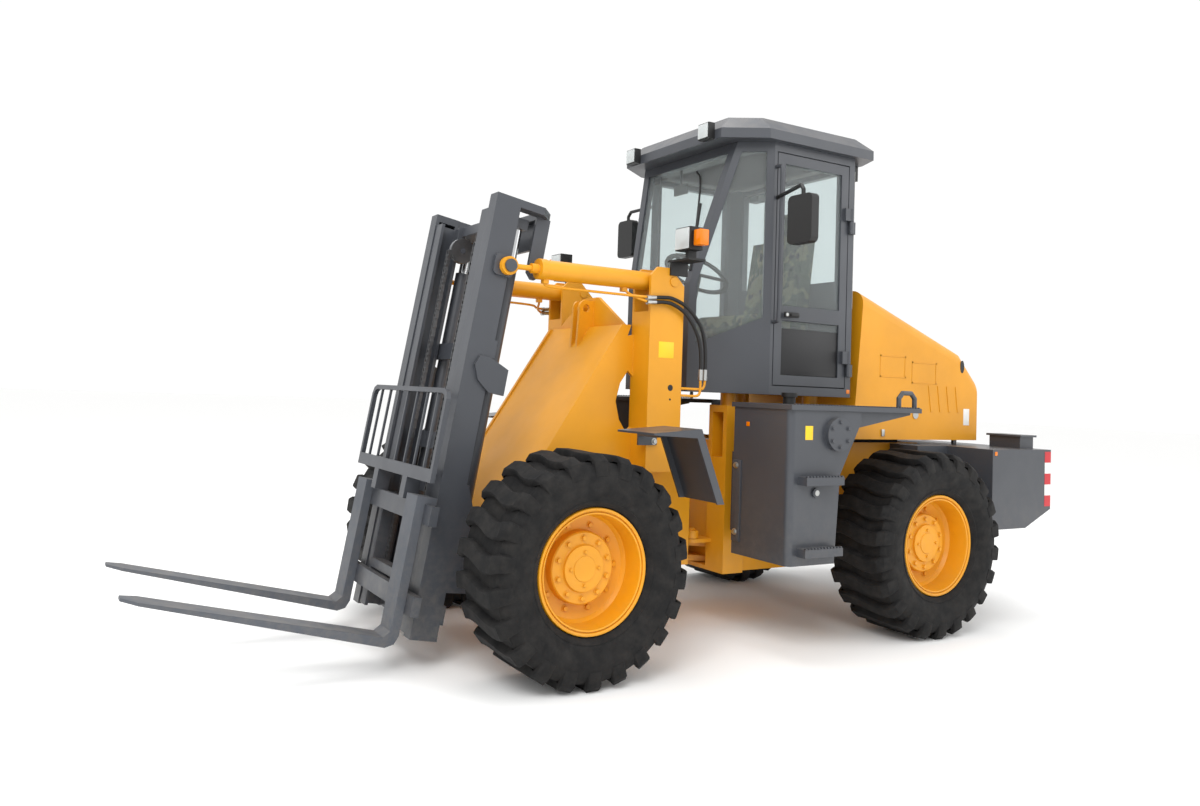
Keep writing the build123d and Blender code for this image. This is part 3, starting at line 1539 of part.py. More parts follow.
def main():
    """Write one file for each node."""
    os.makedirs("parts", exist_ok=True)
    for name, shape in nodes.items():
        export_step(Pos(frame_shift, 0, 0) * shape, "parts/" + name + ".step")


if __name__ == "__main__":
    main()
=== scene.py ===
import json
import logging
import math
from dataclasses import dataclass
from enum import Enum
from functools import cache, cached_property

import bmesh
import bpy
from mathutils import Matrix, Vector


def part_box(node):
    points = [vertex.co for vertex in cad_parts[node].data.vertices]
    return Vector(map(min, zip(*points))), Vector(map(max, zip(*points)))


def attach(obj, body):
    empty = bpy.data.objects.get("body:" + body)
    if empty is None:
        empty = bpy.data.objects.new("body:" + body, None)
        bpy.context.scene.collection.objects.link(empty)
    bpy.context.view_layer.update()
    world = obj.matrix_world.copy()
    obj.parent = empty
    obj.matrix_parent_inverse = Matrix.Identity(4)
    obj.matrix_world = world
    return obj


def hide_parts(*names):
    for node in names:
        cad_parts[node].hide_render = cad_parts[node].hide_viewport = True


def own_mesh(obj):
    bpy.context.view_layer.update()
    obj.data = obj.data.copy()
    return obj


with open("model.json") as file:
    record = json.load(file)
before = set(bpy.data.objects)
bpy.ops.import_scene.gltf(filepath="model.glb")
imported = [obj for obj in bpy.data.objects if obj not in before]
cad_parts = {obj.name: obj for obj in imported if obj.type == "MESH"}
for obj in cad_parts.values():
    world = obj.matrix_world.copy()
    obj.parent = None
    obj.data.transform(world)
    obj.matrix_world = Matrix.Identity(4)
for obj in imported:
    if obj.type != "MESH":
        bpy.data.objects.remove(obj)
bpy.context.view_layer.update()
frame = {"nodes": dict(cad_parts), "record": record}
LOG = logging.getLogger("fork_truck")

Point = tuple[float, float, float]
Span = tuple[float, float]
Block = tuple[Span, Span, Span]
Value = bpy.types.Node | bpy.types.NodeSocket | float | tuple[float, ...]
# Settings of the nodes that multiply and that blend colours, and the blend's colour output.
TIMES = {"operation": "MULTIPLY"}
BLEND = {"data_type": "RGBA"}
BLENDED = 2


class Side(Enum):
    """Which side of the machine a piece is on."""

    LEFT = 1
    RIGHT = -1


def linear(hex_colour: str) -> tuple[float, float, float, float]:
    """Turn an sRGB hex colour to linear light.

    Args:
        hex_colour: six hex digits.
    Returns:
        Linear red, green and blue with full alpha.
    """
    parts = [int(hex_colour[i : i + 2], 16) / 255 for i in (0, 2, 4)]
    flat = [c / 12.92 if c <= 0.04045 else ((c + 0.055) / 1.055) ** 2.4 for c in parts]
    return (flat[0], flat[1], flat[2], 1.0)


class Shader:
    """A material's node tree with the steps that the finishes share."""

    def __init__(self, name: str) -> None:
        """Make an empty material with a Principled shader.

        Args:
            name: the material's name.
        """
        self.material = bpy.data.materials.new(name)
        self.material.use_nodes = True
        self.tree = self.material.node_tree
        self.tree.nodes.clear()
        self.where = self.add("TexCoord").outputs["Object"]
        self.bsdf = self.add("BsdfPrincipled")
        self.end = self.add("OutputMaterial", Surface=self.bsdf)

    def add(self, kind: str, settings: dict[str, str | int] | None = None, **links: Value) -> bpy.types.Node:
        """Add a node with its settings and links.

        Args:
            kind: the node's type, without the words that every shader node's type starts with.
            settings: attributes of the node.
            links: what goes into its inputs, as for feed.
        Returns:
            The new node.
        """
        node = self.tree.nodes.new("ShaderNode" + kind)
        for key, value in (settings or {}).items():
            setattr(node, key, value)
        self.feed(node, **links)
        return node

    def feed(self, node: bpy.types.Node, **links: Value) -> None:
        """Link or set a node's inputs.

        Args:
            node: the node.
            links: input name (underscores for spaces), or i and its number, to a node, socket or plain value.
        """
        for key, value in links.items():
            number = key[1:] if key[0] == "i" else ""
            socket = node.inputs[int(number) if number.isdigit() else key.replace("_", " ")]
            if isinstance(value, bpy.types.Node):
                value = value.outputs[0]
            if isinstance(value, bpy.types.NodeSocket):
                self.tree.links.new(value, socket)
            else:
                socket.default_value = value

    def facing_up(self) -> bpy.types.Node:
        """How far a face looks upwards.

        Returns:
            0 for walls and 1 for floors.
        """
        normal = self.add("NewGeometry").outputs["Normal"]
        up = self.add("SeparateXYZ", Vector=normal).outputs["Z"]
        return self.add("MapRange", Value=up, From_Min=0.35, From_Max=0.95)

    def low_down(self, height: float) -> bpy.types.Node:
        """How near a place is to the ground.

        Args:
            height: where the share has fallen to nothing, in metres.
        Returns:
            1 at the ground and 0 at the height.
        """
        z = self.add("SeparateXYZ", Vector=self.where).outputs["Z"]
        return self.add("MapRange", Value=z, From_Min=height, From_Max=0.0)

    def relief(self, height: bpy.types.Node, strength: float, depth_mm: float, edge_mm: float) -> None:
        """Set the normal from a height and rounded edges.

        Args:
            height: a height value.
            strength: bump strength.
            depth_mm: real depth of the relief.
            edge_mm: radius of softened edges.
        """
        edge = self.add("Bevel", {"samples": 4}, Radius=edge_mm / 1000)
        bump = self.add("Bump", Strength=strength, Distance=depth_mm / 1000, Height=height, Normal=edge)
        self.feed(self.bsdf, Normal=bump)


@dataclass(frozen=True)
class Finish:
    """What every finish has: a name, a slot of the record and a material that is made once."""

    name: str
    slot: str

    def lay(self, s: Shader) -> None:
        """Set up the shader, which each kind of finish does in its own way."""
        raise NotImplementedError(self.name)

    @cache
    def make(self) -> bpy.types.Material:
        """The finish's material.

        Returns:
            The same material at each call.
        """
        shader = Shader(self.name)
        self.lay(shader)
        return shader.material


@dataclass(frozen=True)
class Paint(Finish):
    """Sprayed machine enamel: an even colour with a soft sheen, dust on top and grime near the ground."""

    colour: str
    dust: str = "8c8172"
    dust_share: float = 0.35
    grime_height: float = 0.9
    rough: float = 0.38
    coat: float = 0.25
    fade: float = 0.84
    patch_mm: float = 420.0
    dust_mm: float = 90.0
    splash_mm: float = 60.0
    sheen_mm: float = 150.0
    peel_mm: float = 2.5

    def lay(self, s: Shader) -> None:
        """Set up faded patches, settled dust, splashes and a fine peel.

        Args:
            s: the shader.
        """
        colour, dust = linear(self.colour), linear(self.dust)
        faded = (*(c * self.fade for c in colour[:3]), 1.0)
        cloud = s.add("TexNoise", Vector=s.where, Scale=1000 / self.patch_mm, Detail=4, Roughness=0.55)
        patches = s.add("MapRange", Value=cloud, From_Min=0.35, From_Max=0.75)
        enamel = s.add("Mix", BLEND, i0=patches, i6=colour, i7=faded).outputs[BLENDED]
        grit = s.add("TexNoise", Vector=s.where, Scale=1000 / self.dust_mm, Detail=6, Roughness=0.55)
        specks = s.add("MapRange", Value=grit, From_Min=0.38, From_Max=0.66)
        on_top = s.add("Math", TIMES, i0=s.facing_up(), i1=specks)
        settled = s.add("Math", TIMES, i0=on_top, i1=self.dust_share)
        mud = s.add("TexNoise", Vector=s.where, Scale=1000 / self.splash_mm, Detail=8, Roughness=0.7)
        spots = s.add("MapRange", Value=mud, From_Min=0.42, From_Max=0.7)
        thrown = s.add("Math", TIMES, i0=s.low_down(self.grime_height), i1=spots)
        splash = s.add("Math", TIMES, i0=thrown, i1=self.dust_share * 1.4)
        dusted = s.add("Mix", BLEND, i0=settled, i6=enamel, i7=dust).outputs[BLENDED]
        grimy = s.add("Mix", BLEND, i0=splash, i6=dusted, i7=dust).outputs[BLENDED]
        sheen = s.add("TexNoise", Vector=s.where, Scale=1000 / self.sheen_mm, Detail=5, Roughness=0.55)
        uneven = s.add("MapRange", Value=sheen, From_Min=-1.4, From_Max=1.9)
        rough = s.add("Math", TIMES, i0=uneven, i1=self.rough * 2.1)
        s.feed(s.bsdf, Base_Color=grimy, Roughness=rough, Coat_Weight=self.coat, Coat_Roughness=0.2)
        peel = s.add("TexNoise", Vector=s.where, Scale=1000 / self.peel_mm, Detail=2, Roughness=0.55)
        s.relief(peel, 0.06, 0.6, 3.0)


@dataclass(frozen=True)
class TyreRubber(Finish):
    """Moulded carbon-black rubber: dull and deep black, with tan dust in patches."""

    colour: str = "111112"
    dust: str = "35322f"
    dust_mm: float = 70.0
    sheen_mm: float = 50.0
    grain_mm: float = 9.0

    def lay(self, s: Shader) -> None:
        """Set up the dusty patches and a coarse grain.

        Args:
            s: the shader.
        """
        grit = s.add("TexNoise", Vector=s.where, Scale=1000 / self.dust_mm, Detail=8, Roughness=0.68)
        dusty = s.add("MapRange", Value=grit, From_Min=0.4, From_Max=0.8)
        share = s.add("Math", TIMES, i0=dusty, i1=0.6)
        colour = s.add("Mix", BLEND, i0=share, i6=linear(self.colour), i7=linear(self.dust)).outputs[BLENDED]
        sheen = s.add("TexNoise", Vector=s.where, Scale=1000 / self.sheen_mm, Detail=5, Roughness=0.55)
        rough = s.add("MapRange", Value=sheen, From_Min=-2.0, From_Max=1.0)
        s.feed(s.bsdf, Base_Color=colour, Roughness=rough, Specular_IOR_Level=0.32)
        grain = s.add("TexNoise", Vector=s.where, Scale=1000 / self.grain_mm, Detail=6, Roughness=0.7)
        s.relief(grain, 0.25, 1.2, 4.0)


@dataclass(frozen=True)
class Metal(Finish):
    """Bare or plated metal: a mirror sheen broken by handling marks."""

    colour: str
    rough: float
    grain_mm: float = 30.0

    def lay(self, s: Shader) -> None:
        """Set up the uneven sheen and fine scratches, a tenth as large.

        Args:
            s: the shader.
        """
        smear = s.add("TexNoise", Vector=s.where, Scale=1000 / self.grain_mm, Detail=6, Roughness=0.55)
        uneven = s.add("MapRange", Value=smear, From_Min=-0.8, From_Max=1.2)
        rough = s.add("Math", TIMES, i0=uneven, i1=self.rough * 1.8)
        s.feed(s.bsdf, Base_Color=linear(self.colour), Metallic=1.0, Roughness=rough)
        scratch = s.add("TexNoise", Vector=s.where, Scale=10000 / self.grain_mm, Detail=3, Roughness=0.55)
        s.relief(scratch, 0.05, 0.3, 1.0)


@dataclass(frozen=True)
class PaintedEye(Finish):
    """A chromed rod whose eye, in front of a line across it, is painted."""

    paint: str
    line_x: float
    chrome: str = "c9cacb"
    rough: float = 0.14
    grain_mm: float = 3.0

    def lay(self, s: Shader) -> None:
        """Set up chrome behind the line and paint in front of it.

        Args:
            s: the shader.
        """
        x = s.add("SeparateXYZ", Vector=s.where).outputs["X"]
        painted = s.add("MapRange", Value=x, From_Min=self.line_x, From_Max=self.line_x + 0.001)
        chrome, paint = linear(self.chrome), linear(self.paint)
        colour = s.add("Mix", BLEND, i0=painted, i6=chrome, i7=paint).outputs[BLENDED]
        bare = s.add("MapRange", Value=painted, From_Min=1.0, From_Max=0.0)
        rough = s.add("MapRange", Value=painted, From_Min=-self.rough / 0.3, From_Max=2.4)
        s.feed(s.bsdf, Base_Color=colour, Metallic=bare, Roughness=rough)
        grain = s.add("TexNoise", Vector=s.where, Scale=1000 / self.grain_mm, Detail=2, Roughness=0.55)
        s.relief(grain, 0.05, 0.4, 2.0)


@dataclass(frozen=True)
class Plastic(Finish):
    """Moulded plastic or rubber trim: one flat colour with a fine moulded grain."""

    colour: str
    rough: float = 0.55
    grain_mm: float = 3.0

    def lay(self, s: Shader) -> None:
        """Set up the colour and the grain.

        Args:
            s: the shader.
        """
        s.feed(s.bsdf, Base_Color=linear(self.colour), Roughness=self.rough)
        grain = s.add("TexNoise", Vector=s.where, Scale=1000 / self.grain_mm, Detail=3, Roughness=0.55)
        s.relief(grain, 0.12, 0.4, 2.0)


@dataclass(frozen=True)
class ClearPane(Finish):
    """Thin float glass or clear plastic: see-through at a share, with a sharp gloss."""

    tint: str
    clear: float

    def lay(self, s: Shader) -> None:
        """Set up a gloss over a see-through pane.

        Args:
            s: the shader.
        """
        tint = linear(self.tint)
        s.feed(s.bsdf, Base_Color=tint, Roughness=0.04, Specular_IOR_Level=0.6)
        through = s.add("BsdfTransparent", Color=tint)
        s.feed(s.end, Surface=s.add("MixShader", i0=self.clear, i1=s.bsdf, i2=through))


@dataclass(frozen=True)
class Camouflage(Finish):
    """Printed woven cloth: flat patches of three colours."""

    colours: tuple[str, str, str] = ("3f4a35", "6d6a4d", "20241c")
    large_mm: float = 90.0
    small_mm: float = 60.0
    weave_mm: float = 4.0

    def lay(self, s: Shader) -> None:
        """Set up the patches and a weave, drawn coarser than real thread so that it shows.

        Args:
            s: the shader.
        """
        ground, pale, dark = (linear(colour) for colour in self.colours)
        large = s.add("TexNoise", Vector=s.where, Scale=1000 / self.large_mm, Detail=2, Roughness=0.55)
        small = s.add("TexNoise", Vector=s.where, Scale=1000 / self.small_mm, Detail=3, Roughness=0.55)
        first = s.add("MapRange", Value=large, From_Min=0.5, From_Max=0.52)
        second = s.add("MapRange", Value=small, From_Min=0.58, From_Max=0.6)
        base = s.add("Mix", BLEND, i0=first, i6=ground, i7=pale).outputs[BLENDED]
        colour = s.add("Mix", BLEND, i0=second, i6=base, i7=dark).outputs[BLENDED]
        s.feed(s.bsdf, Base_Color=colour, Roughness=0.9)
        weave = s.add("TexNoise", Vector=s.where, Scale=1000 / self.weave_mm, Detail=2, Roughness=0.55)
        s.relief(weave, 0.3, 0.8, 6.0)


YELLOW_HEX = "e29a0e"
# Sprayed enamel, warm and nearly clean, and the same enamel in slate grey, with more dust on it.
YELLOW = Paint("Amber_machine_paint", "yellow_paint", YELLOW_HEX, dust_share=0.07, coat=0.08)
SLATE = Paint("Slate_machine_paint", "slate_paint", "3f4248", dust_share=0.2)
# Enamel that loads have rubbed dull and pale.
FORK = Paint("Worn_fork_paint", "fork_steel", "50545b", dust_share=0.22, rough=0.5, coat=0.05)
RUBBER = TyreRubber("Tyre_rubber", "tyre")
# Hard chrome is nearly a mirror, oiled steel dark and soft, zinc plate pale and grey.
CHROME = Metal("Chromed_rod", "chrome_rod", "c9cacb", 0.12)
STEEL = Metal("Oiled_steel", "steel", "6d6e70", 0.38)
ZINC = Metal("Zinc_plated_bolt", "steel", "b9bab8", 0.3)
MIRROR = Metal("Lamp_reflector", "chrome_rod", "eef0f0", 0.16)
# Cast iron as it leaves the sand: dark, dull and grainy.
IRON = Plastic("Cast_iron", "cast_block", "2c2a28", 0.7)
# Moulded trim is satin black, the tinted panel glossier, and hose rubber dull. The tinted finish also paints
# the shade inside the tower holes and the hood vent.
BLACK = Plastic("Black_plastic", "black_plastic", "141414", 0.5)
TINT_AND_SHADE = Plastic("Tinted_panel", "black_plastic", "111114", 0.4)
HOSE = Plastic("Hose_rubber", "black_plastic", "0f0f10", 0.55)
# Float glass is almost clear, and a lamp's lens veils its reflector.
GLASS = ClearPane("Cab_glass", "cab_glass", "f1f5f5", 0.92)
LENS = ClearPane("Lamp_lens", "cab_glass", "f4f7f7", 0.55)
# Acrylic lenses and reflective tape: strong colours with a gloss.
AMBER = Plastic("Amber_lens", "black_plastic", "e27800", 0.15)
RED = Plastic("Red_reflector", "black_plastic", "c0202a", 0.3)
# The white also paints the light on the cab's corner glass.
WHITE = Plastic("White_reflector", "black_plastic", "e4e3de", 0.4)
LABEL = Plastic("Blank_label", "yellow_paint", "f0c518", 0.4)
# Felt lining: pale and without any gloss.
LINING = Plastic("Cab_lining", "black_plastic", "8b8d8c", 0.8)
CLOTH = Camouflage("Camouflage_cloth", "seat_cloth")

CAD_FINISHES = (YELLOW, SLATE, FORK, CHROME, STEEL, IRON, RUBBER, GLASS, CLOTH, BLACK)
FINISH_OF_SLOT = {finish.slot: finish for finish in CAD_FINISHES}

AXLE = (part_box("tyre_front_left")[0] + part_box("tyre_front_left")[1]) / 2


def place(x: float, y: float, z: float) -> Vector:
    """A point in the row frame from millimetres measured at the front axle's line on the ground.

    Args:
        x: forward.
        y: left.
        z: up.
    Returns:
        The point in metres.
    """
    return Vector((AXLE.x + x / 1000, y / 1000, z / 1000))


def mirrored(route: tuple[Point, ...] | list[Point], side: Side) -> list[Vector]:
    """Place points that are given for the left on either side.

    Args:
        route: the points, in millimetres from the front axle.
        side: which side.
    Returns:
        The points in metres.
    """
    return [place(x, side.value * y, z) for x, y, z in route]


def around(middle: float, half: float) -> Span:
    """The span that reaches as far on both sides of a middle."""
    return (middle - half, middle + half)


class Work:
    """A mesh under construction that becomes one piece."""

    def __init__(self, name: str, body: str, finish: Finish) -> None:
        """Start an empty mesh.

        Args:
            name: the piece's name.
            body: the CAD body that it rides on.
            finish: its finish.
        """
        self.name = name
        self.body = body
        self.finish = finish
        self.bm = bmesh.new()

    def box(self, low: Vector, high: Vector, bevel: float = 0.002, turn: Matrix | None = None) -> None:
        """Add a box with softened edges.

        Args:
            low: lowest corner.
            high: highest corner.
            bevel: edge radius in metres.
            turn: a transform for the finished box.
        """
        size = Vector([abs(b - a) for a, b in zip(low, high)])
        middle = (Vector(low) + Vector(high)) / 2
        stretch = Matrix.Translation(middle) @ Matrix.Diagonal((*size, 1))
        verts = bmesh.ops.create_cube(self.bm, size=1.0, matrix=stretch)["verts"]
        if bevel > 0:
            edges = list({e for v in verts for e in v.link_edges})
            limit = min(size) * 0.45
            done = bmesh.ops.bevel(
                self.bm,
                geom=edges,
                offset=min(bevel, limit),
                segments=2,
                profile=0.5,
                affect="EDGES",
                material=-1,
            )
            verts = list({v for f in done["faces"] for v in f.verts} | {v for v in verts if v.is_valid})
        if turn is not None:
            bmesh.ops.transform(self.bm, matrix=turn, verts=verts)

    def rod(self, start: Vector, end: Vector, radius: float, sides: int, tip: float | None = None) -> None:
        """Add a round bar or a cone.

        Args:
            start: first end.
            end: second end.
            radius: radius at the first end.
            sides: number of sides.
            tip: radius at the second end, when it differs.
        """
        axis = Vector(end) - Vector(start)
        turn = axis.to_track_quat("Z", "Y").to_matrix().to_4x4()
        bmesh.ops.create_cone(
            self.bm,
            cap_ends=True,
            segments=sides,
            radius1=radius,
            radius2=radius if tip is None else tip,
            depth=axis.length,
            matrix=Matrix.Translation((Vector(start) + Vector(end)) / 2) @ turn,
        )

    def bolt(self, at: Vector, out: Vector, across: float = 0.03) -> None:
        """Add a hexagon bolt head on a washer.

        Args:
            at: the point on the face.
            out: the face's outward direction.
            across: width across corners.
        """
        out = Vector(out).normalized()
        self.rod(at - out * 0.001, at + out * across * 0.08, across * 0.68, 20)
        self.rod(at + out * across * 0.08, at + out * across * 0.48, across * 0.5, 6, across * 0.47)

    def tube(self, points: list[Vector], radius: float, sides: int = 12, smooth: int = 6) -> list[Vector]:
        """Add a round tube along a smooth path.

        Args:
            points: points that the path goes through.
            radius: the tube's radius.
            sides: number of sides.
            smooth: steps between two points.
        Returns:
            The points of the smooth path.
        """
        ends = [points[0] * 2 - points[1], *points, points[-1] * 2 - points[-2]]
        path = []
        for a, b, c, d in zip(ends, ends[1:], ends[2:], ends[3:]):
            for step in range(smooth):
                t = step / smooth
                bend = (2 * a - 5 * b + 4 * c - d) * t**2 + (3 * b - a - 3 * c + d) * t**3
                path.append((2 * b + (c - a) * t + bend) / 2)
        path.append(points[-1].copy())
        across = None
        rings = []
        for index, point in enumerate(path):
            along = (path[min(index + 1, len(path) - 1)] - path[max(index - 1, 0)]).normalized()
            if across is None:
                across = along.orthogonal().normalized()
            across = (across - along * across.dot(along)).normalized()
            other = along.cross(across)
            turns = [2 * math.pi * side / sides for side in range(sides)]
            spokes = [across * math.cos(turn) + other * math.sin(turn) for turn in turns]
            rings.append([self.bm.verts.new(point + spoke * radius) for spoke in spokes])
        for first, second in zip(rings, rings[1:]):
            for side in range(sides):
                nxt = (side + 1) % sides
                self.bm.faces.new((first[side], first[nxt], second[nxt], second[side]))
        self.bm.faces.new(rings[0][::-1])
        self.bm.faces.new(rings[-1])
        return path

    def slab(self, corners: list[Vector], out: Vector) -> None:
        """Add a plate from its outline on the face that carries it.

        Args:
            corners: the outline.
            out: the thickness, as a vector away from the face.
        """
        foot = self.bm.faces.new([self.bm.verts.new(corner) for corner in corners])
        grown = bmesh.ops.extrude_face_region(self.bm, geom=[foot])["geom"]
        bmesh.ops.translate(self.bm, vec=out, verts=[v for v in grown if isinstance(v, bmesh.types.BMVert)])

    def block(self, x: Span, y: Span, z: Span, bevel_mm: float = 2.0) -> None:
        """Add a box from its spans in millimetres from the front axle.

        Args:
            x: rear and front.
            y: right and left.
            z: foot and top.
            bevel_mm: edge radius.
        """
        self.box(place(x[0], y[0], z[0]), place(x[1], y[1], z[1]), bevel_mm / 1000)

    def turned(self, profile: list[Span], centre: Vector, steps: int) -> None:
        """Spin a closed profile about the line through centre along Y.

        Args:
            profile: (radius, y) points in metres.
            centre: the middle of the wheel.
            steps: number of steps in a turn.
        """
        verts = [self.bm.verts.new(centre + Vector((r, y, 0))) for r, y in profile]
        edges = [self.bm.edges.new(two) for two in zip(verts, verts[1:] + verts[:1])]
        bmesh.ops.spin(
            self.bm,
            geom=[*verts, *edges],
            cent=centre,
            axis=(0, 1, 0),
            angle=2 * math.pi,
            steps=steps,
            use_duplicate=False,
            use_merge=True,
        )

    def finish_piece(self, smooth_deg: float = 35.0, replaces: tuple[str, ...] = ()) -> bpy.types.Object:
        """Turn the mesh into a piece of the machine.

        Args:
            smooth_deg: edges flatter than this shade smoothly.
            replaces: CAD nodes that the piece stands for.
        Returns:
            The new object.
        """
        bmesh.ops.remove_doubles(self.bm, verts=self.bm.verts, dist=0.00002)
        bmesh.ops.recalc_face_normals(self.bm, faces=self.bm.faces)
        mesh = bpy.data.meshes.new(self.name)
        self.bm.to_mesh(mesh)
        self.bm.free()
        mesh.polygons.foreach_set("use_smooth", [True] * len(mesh.polygons))
        mesh.set_sharp_from_angle(angle=math.radians(smooth_deg))
        mesh.materials.append(self.finish.make())
        piece = bpy.data.objects.new(self.name, mesh)
        bpy.context.scene.collection.objects.link(piece)
        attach(piece, self.body)
        if replaces:
            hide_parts(*replaces)
        LOG.info("%s: %d faces", self.name, len(mesh.polygons))
        return piece


def add_plate(name: str, body: str, finish: Finish, at: Span, half: Span, face_y: float) -> None:
    """Lay a blank plate on a face that looks left.

    Args:
        name: the piece's name.
        body: the body that carries it.
        finish: its finish.
        at: its middle, forward and up.
        half: half its length and height.
        face_y: the face that it lies on.
    """
    plate = Work(name, body, finish)
    plate.block(around(at[0], half[0]), (face_y - 0.5, face_y + 1), around(at[1], half[1]), 0.2)
    plate.finish_piece()


@dataclass
class Wheel:
    """A lugged tyre on a deep-dish rim."""

    name: str
    side: Side
    radius: float = 0.532
    half_width: float = 0.202
    bead: float = 0.2915
    lugs: int = 22
    lug_width: float = 0.078
    lug_shift: float = 0.02125
    lug_depth: float = 0.042
    shoulder: Span = (0.15, 0.20)
    crown_rise: float = 0.0012
    rim_face: float = 0.165
    rim_radius: float = 0.2893
    bolts: int = 10
    screws: int = 4

    @cached_property
    def centre(self) -> Vector:
        """The middle of the CAD tyre's box."""
        low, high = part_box("tyre_" + self.name)
        return (low + high) / 2

    def at(self, radius: float, angle: float, y: float) -> Vector:
        """A point on the wheel.

        Args:
            radius: distance from the axle.
            angle: angle from the front, upwards, in radians.
            y: distance outwards from the wheel's middle.
        Returns:
            The point in the row frame.
        """
        spot = Vector((radius * math.cos(angle), y * self.side.value, radius * math.sin(angle)))
        return self.centre + spot

    def build_tyre(self) -> None:
        """Make the carcass and its lugs."""
        work = Work("tyre_skin_" + self.name, "wheel_" + self.name, RUBBER)
        half = [
            (self.bead, 0.150),
            (self.bead + 0.006, 0.166),
            (self.bead + 0.028, 0.180),
            (self.bead + 0.034, 0.177),
            (0.360, 0.196),
            (0.405, 0.2005),
            (0.446, 0.199),
            (0.478, 0.184),
            (0.495, 0.164),
        ]
        profile = half + [(r, -y) for r, y in half[::-1]]
        work.turned([(r, y * self.side.value) for r, y in profile], self.centre, 96)
        for lug in range(self.lugs):
            self.add_lug(work, -math.pi / 2 - 2 * math.pi * lug / self.lugs)
        work.finish_piece(38.0, ("tyre_" + self.name,))

    def lug_point(self, middle: float, station: Point, across: float, drop: float) -> Vector:
        """A point on the skin of a lug, which waves along the tread and folds over the shoulders.

        Args:
            middle: the lug's angle about the axle.
            station: distance outwards, radius and depth where the lug is cut.
            across: place over the lug's width, from -1 to 1 and a little beyond.
            drop: share of the depth that the point lies under the top.
        Returns:
            The point in the row frame.
        """
        y, radius, depth = station
        half = across * self.lug_width / 2
        angle = middle + (self.lug_shift * math.sin(-math.pi * y / self.half_width) + half) / self.radius
        pull = drop * depth
        start, end = self.shoulder
        fold = min(1.0, max(0.0, (abs(y) - start) / (end - start)))
        if radius == self.radius and drop == 0:
            radius = min(radius / math.cos(half / self.radius), self.radius + self.crown_rise)
        return self.at(radius - pull * (1 - fold), angle, y + pull * fold * (1 if y < 0 else -1))

    def add_lug(self, work: Work, middle: float) -> None:
        """Skin one lug from a row of sections across the tread.

        Args:
            work: the tyre's mesh.
            middle: the lug's angle about the axle.
        """
        # Sections by distance outwards, radius and depth, and each one's points by width and drop.
        top, deep = self.radius, self.lug_depth
        row = [(-0.2016, 0.434, 0.010), (-0.2012, 0.470, 0.016), (-0.196, 0.504, 0.026), (-0.164, top, 0.040)]
        row += [(y, top, deep) for y in (-0.120, -0.078, -0.036)]
        row += [(0.0, top, deep)] + [(-y, r, d) for y, r, d in row[::-1]]
        edge = [(-1.12, 1.0), (-1.0, 0.12), (-0.86, 0.0)]
        section = edge + [(0.0, 0.0)] + [(-across, drop) for across, drop in edge[::-1]]
        rings = []
        for station in row:
            rings.append([work.bm.verts.new(self.lug_point(middle, station, *spot)) for spot in section])
        for first, second in zip(rings, rings[1:]):
            for a, b, c, d in zip(first, first[1:], second[1:], second):
                work.bm.faces.new((a, b, c, d))
        work.bm.faces.new(rings[0])
        work.bm.faces.new(rings[-1][::-1])

    def build_rim(self) -> None:
        """Make the rim's dish, lock ring, hub drum and cover."""
        work = Work("rim_skin_" + self.name, "wheel_" + self.name, YELLOW)
        face = self.rim_face
        profile = [
            (self.rim_radius, -face),
            (self.rim_radius, face - 0.010),
            (self.rim_radius - 0.003, face - 0.002),
            (self.rim_radius - 0.010, face),
            (self.rim_radius - 0.016, face - 0.004),
            (self.rim_radius - 0.018, face - 0.014),
            (self.rim_radius - 0.021, face - 0.014),
            (self.rim_radius - 0.023, face - 0.006),
            (self.rim_radius - 0.030, face - 0.008),
            (self.rim_radius - 0.034, face - 0.030),
            (self.rim_radius - 0.036, 0.050),
            (self.rim_radius - 0.050, 0.030),
            (self.rim_radius - 0.078, 0.022),
            (0.172, 0.022),
            (0.170, 0.026),
            (0.168, 0.062),
            (0.162, 0.068),
            (0.112, 0.068),
            (0.108, 0.072),
            (0.106, 0.084),
            (0.098, 0.086),
            (0.060, 0.086),
            (0.058, 0.090),
            (0.0, 0.090),
        ]
        back = [(0.0, 0.066), (0.092, 0.066), (0.092, 0.004), (0.255, 0.004), (0.257, -face)]
        work.turned([(r, y * self.side.value) for r, y in profile + back], self.centre, 72)
        work.finish_piece(30.0, ("rim_" + self.name,))

    def build_bolts(self) -> None:
        """Add the wheel nuts, the cover's screws and the valve."""
        work = Work("wheel_nuts_" + self.name, "wheel_" + self.name, YELLOW)
        out = Vector((0, self.side.value, 0))
        # Each ring of bolts: count, shift in steps, circle, height of its face and width of a head.
        circles = (
            (self.bolts, 0.5, 0.138, 0.068, 0.024),
            (self.screws, 0.0, 0.076, 0.086, 0.016),
            (self.bolts, 0.0, 0.198, 0.022, 0.026),
        )
        for count, shift, radius, y, across in circles:
            for bolt in range(count):
                work.bolt(self.at(radius, 2 * math.pi * (bolt + shift) / count, y), out, across)
        work.rod(self.at(0.215, 0.6, 0.020), self.at(0.232, 0.6, 0.070), 0.006, 12)
        work.finish_piece()

    def build(self) -> None:
        """Build the whole wheel."""
        self.build_tyre()
        self.build_rim()
        self.build_bolts()


class CadFinish:
    """Gives the CAD nodes that stay in view their finishes."""

    def dress(self) -> None:
        """Set each node's material from its slot."""
        slots = {part["node"]: part["material_slot"] for part in frame["record"]["subparts"]}
        for name, node in frame["nodes"].items():
            node.data.materials.clear()
            finish = self.rod_finish() if name.startswith("tilt_rod") else FINISH_OF_SLOT[slots[name]]
            node.data.materials.append(finish.make())

    def rod_finish(self) -> PaintedEye:
        """The finish of the tilt rods, painted where they stand out of their barrels at rest.

        Returns:
            The finish.
        """
        return PaintedEye("Rod_with_painted_eye", "chrome_rod", YELLOW_HEX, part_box("tilt_barrel_left")[1].x)


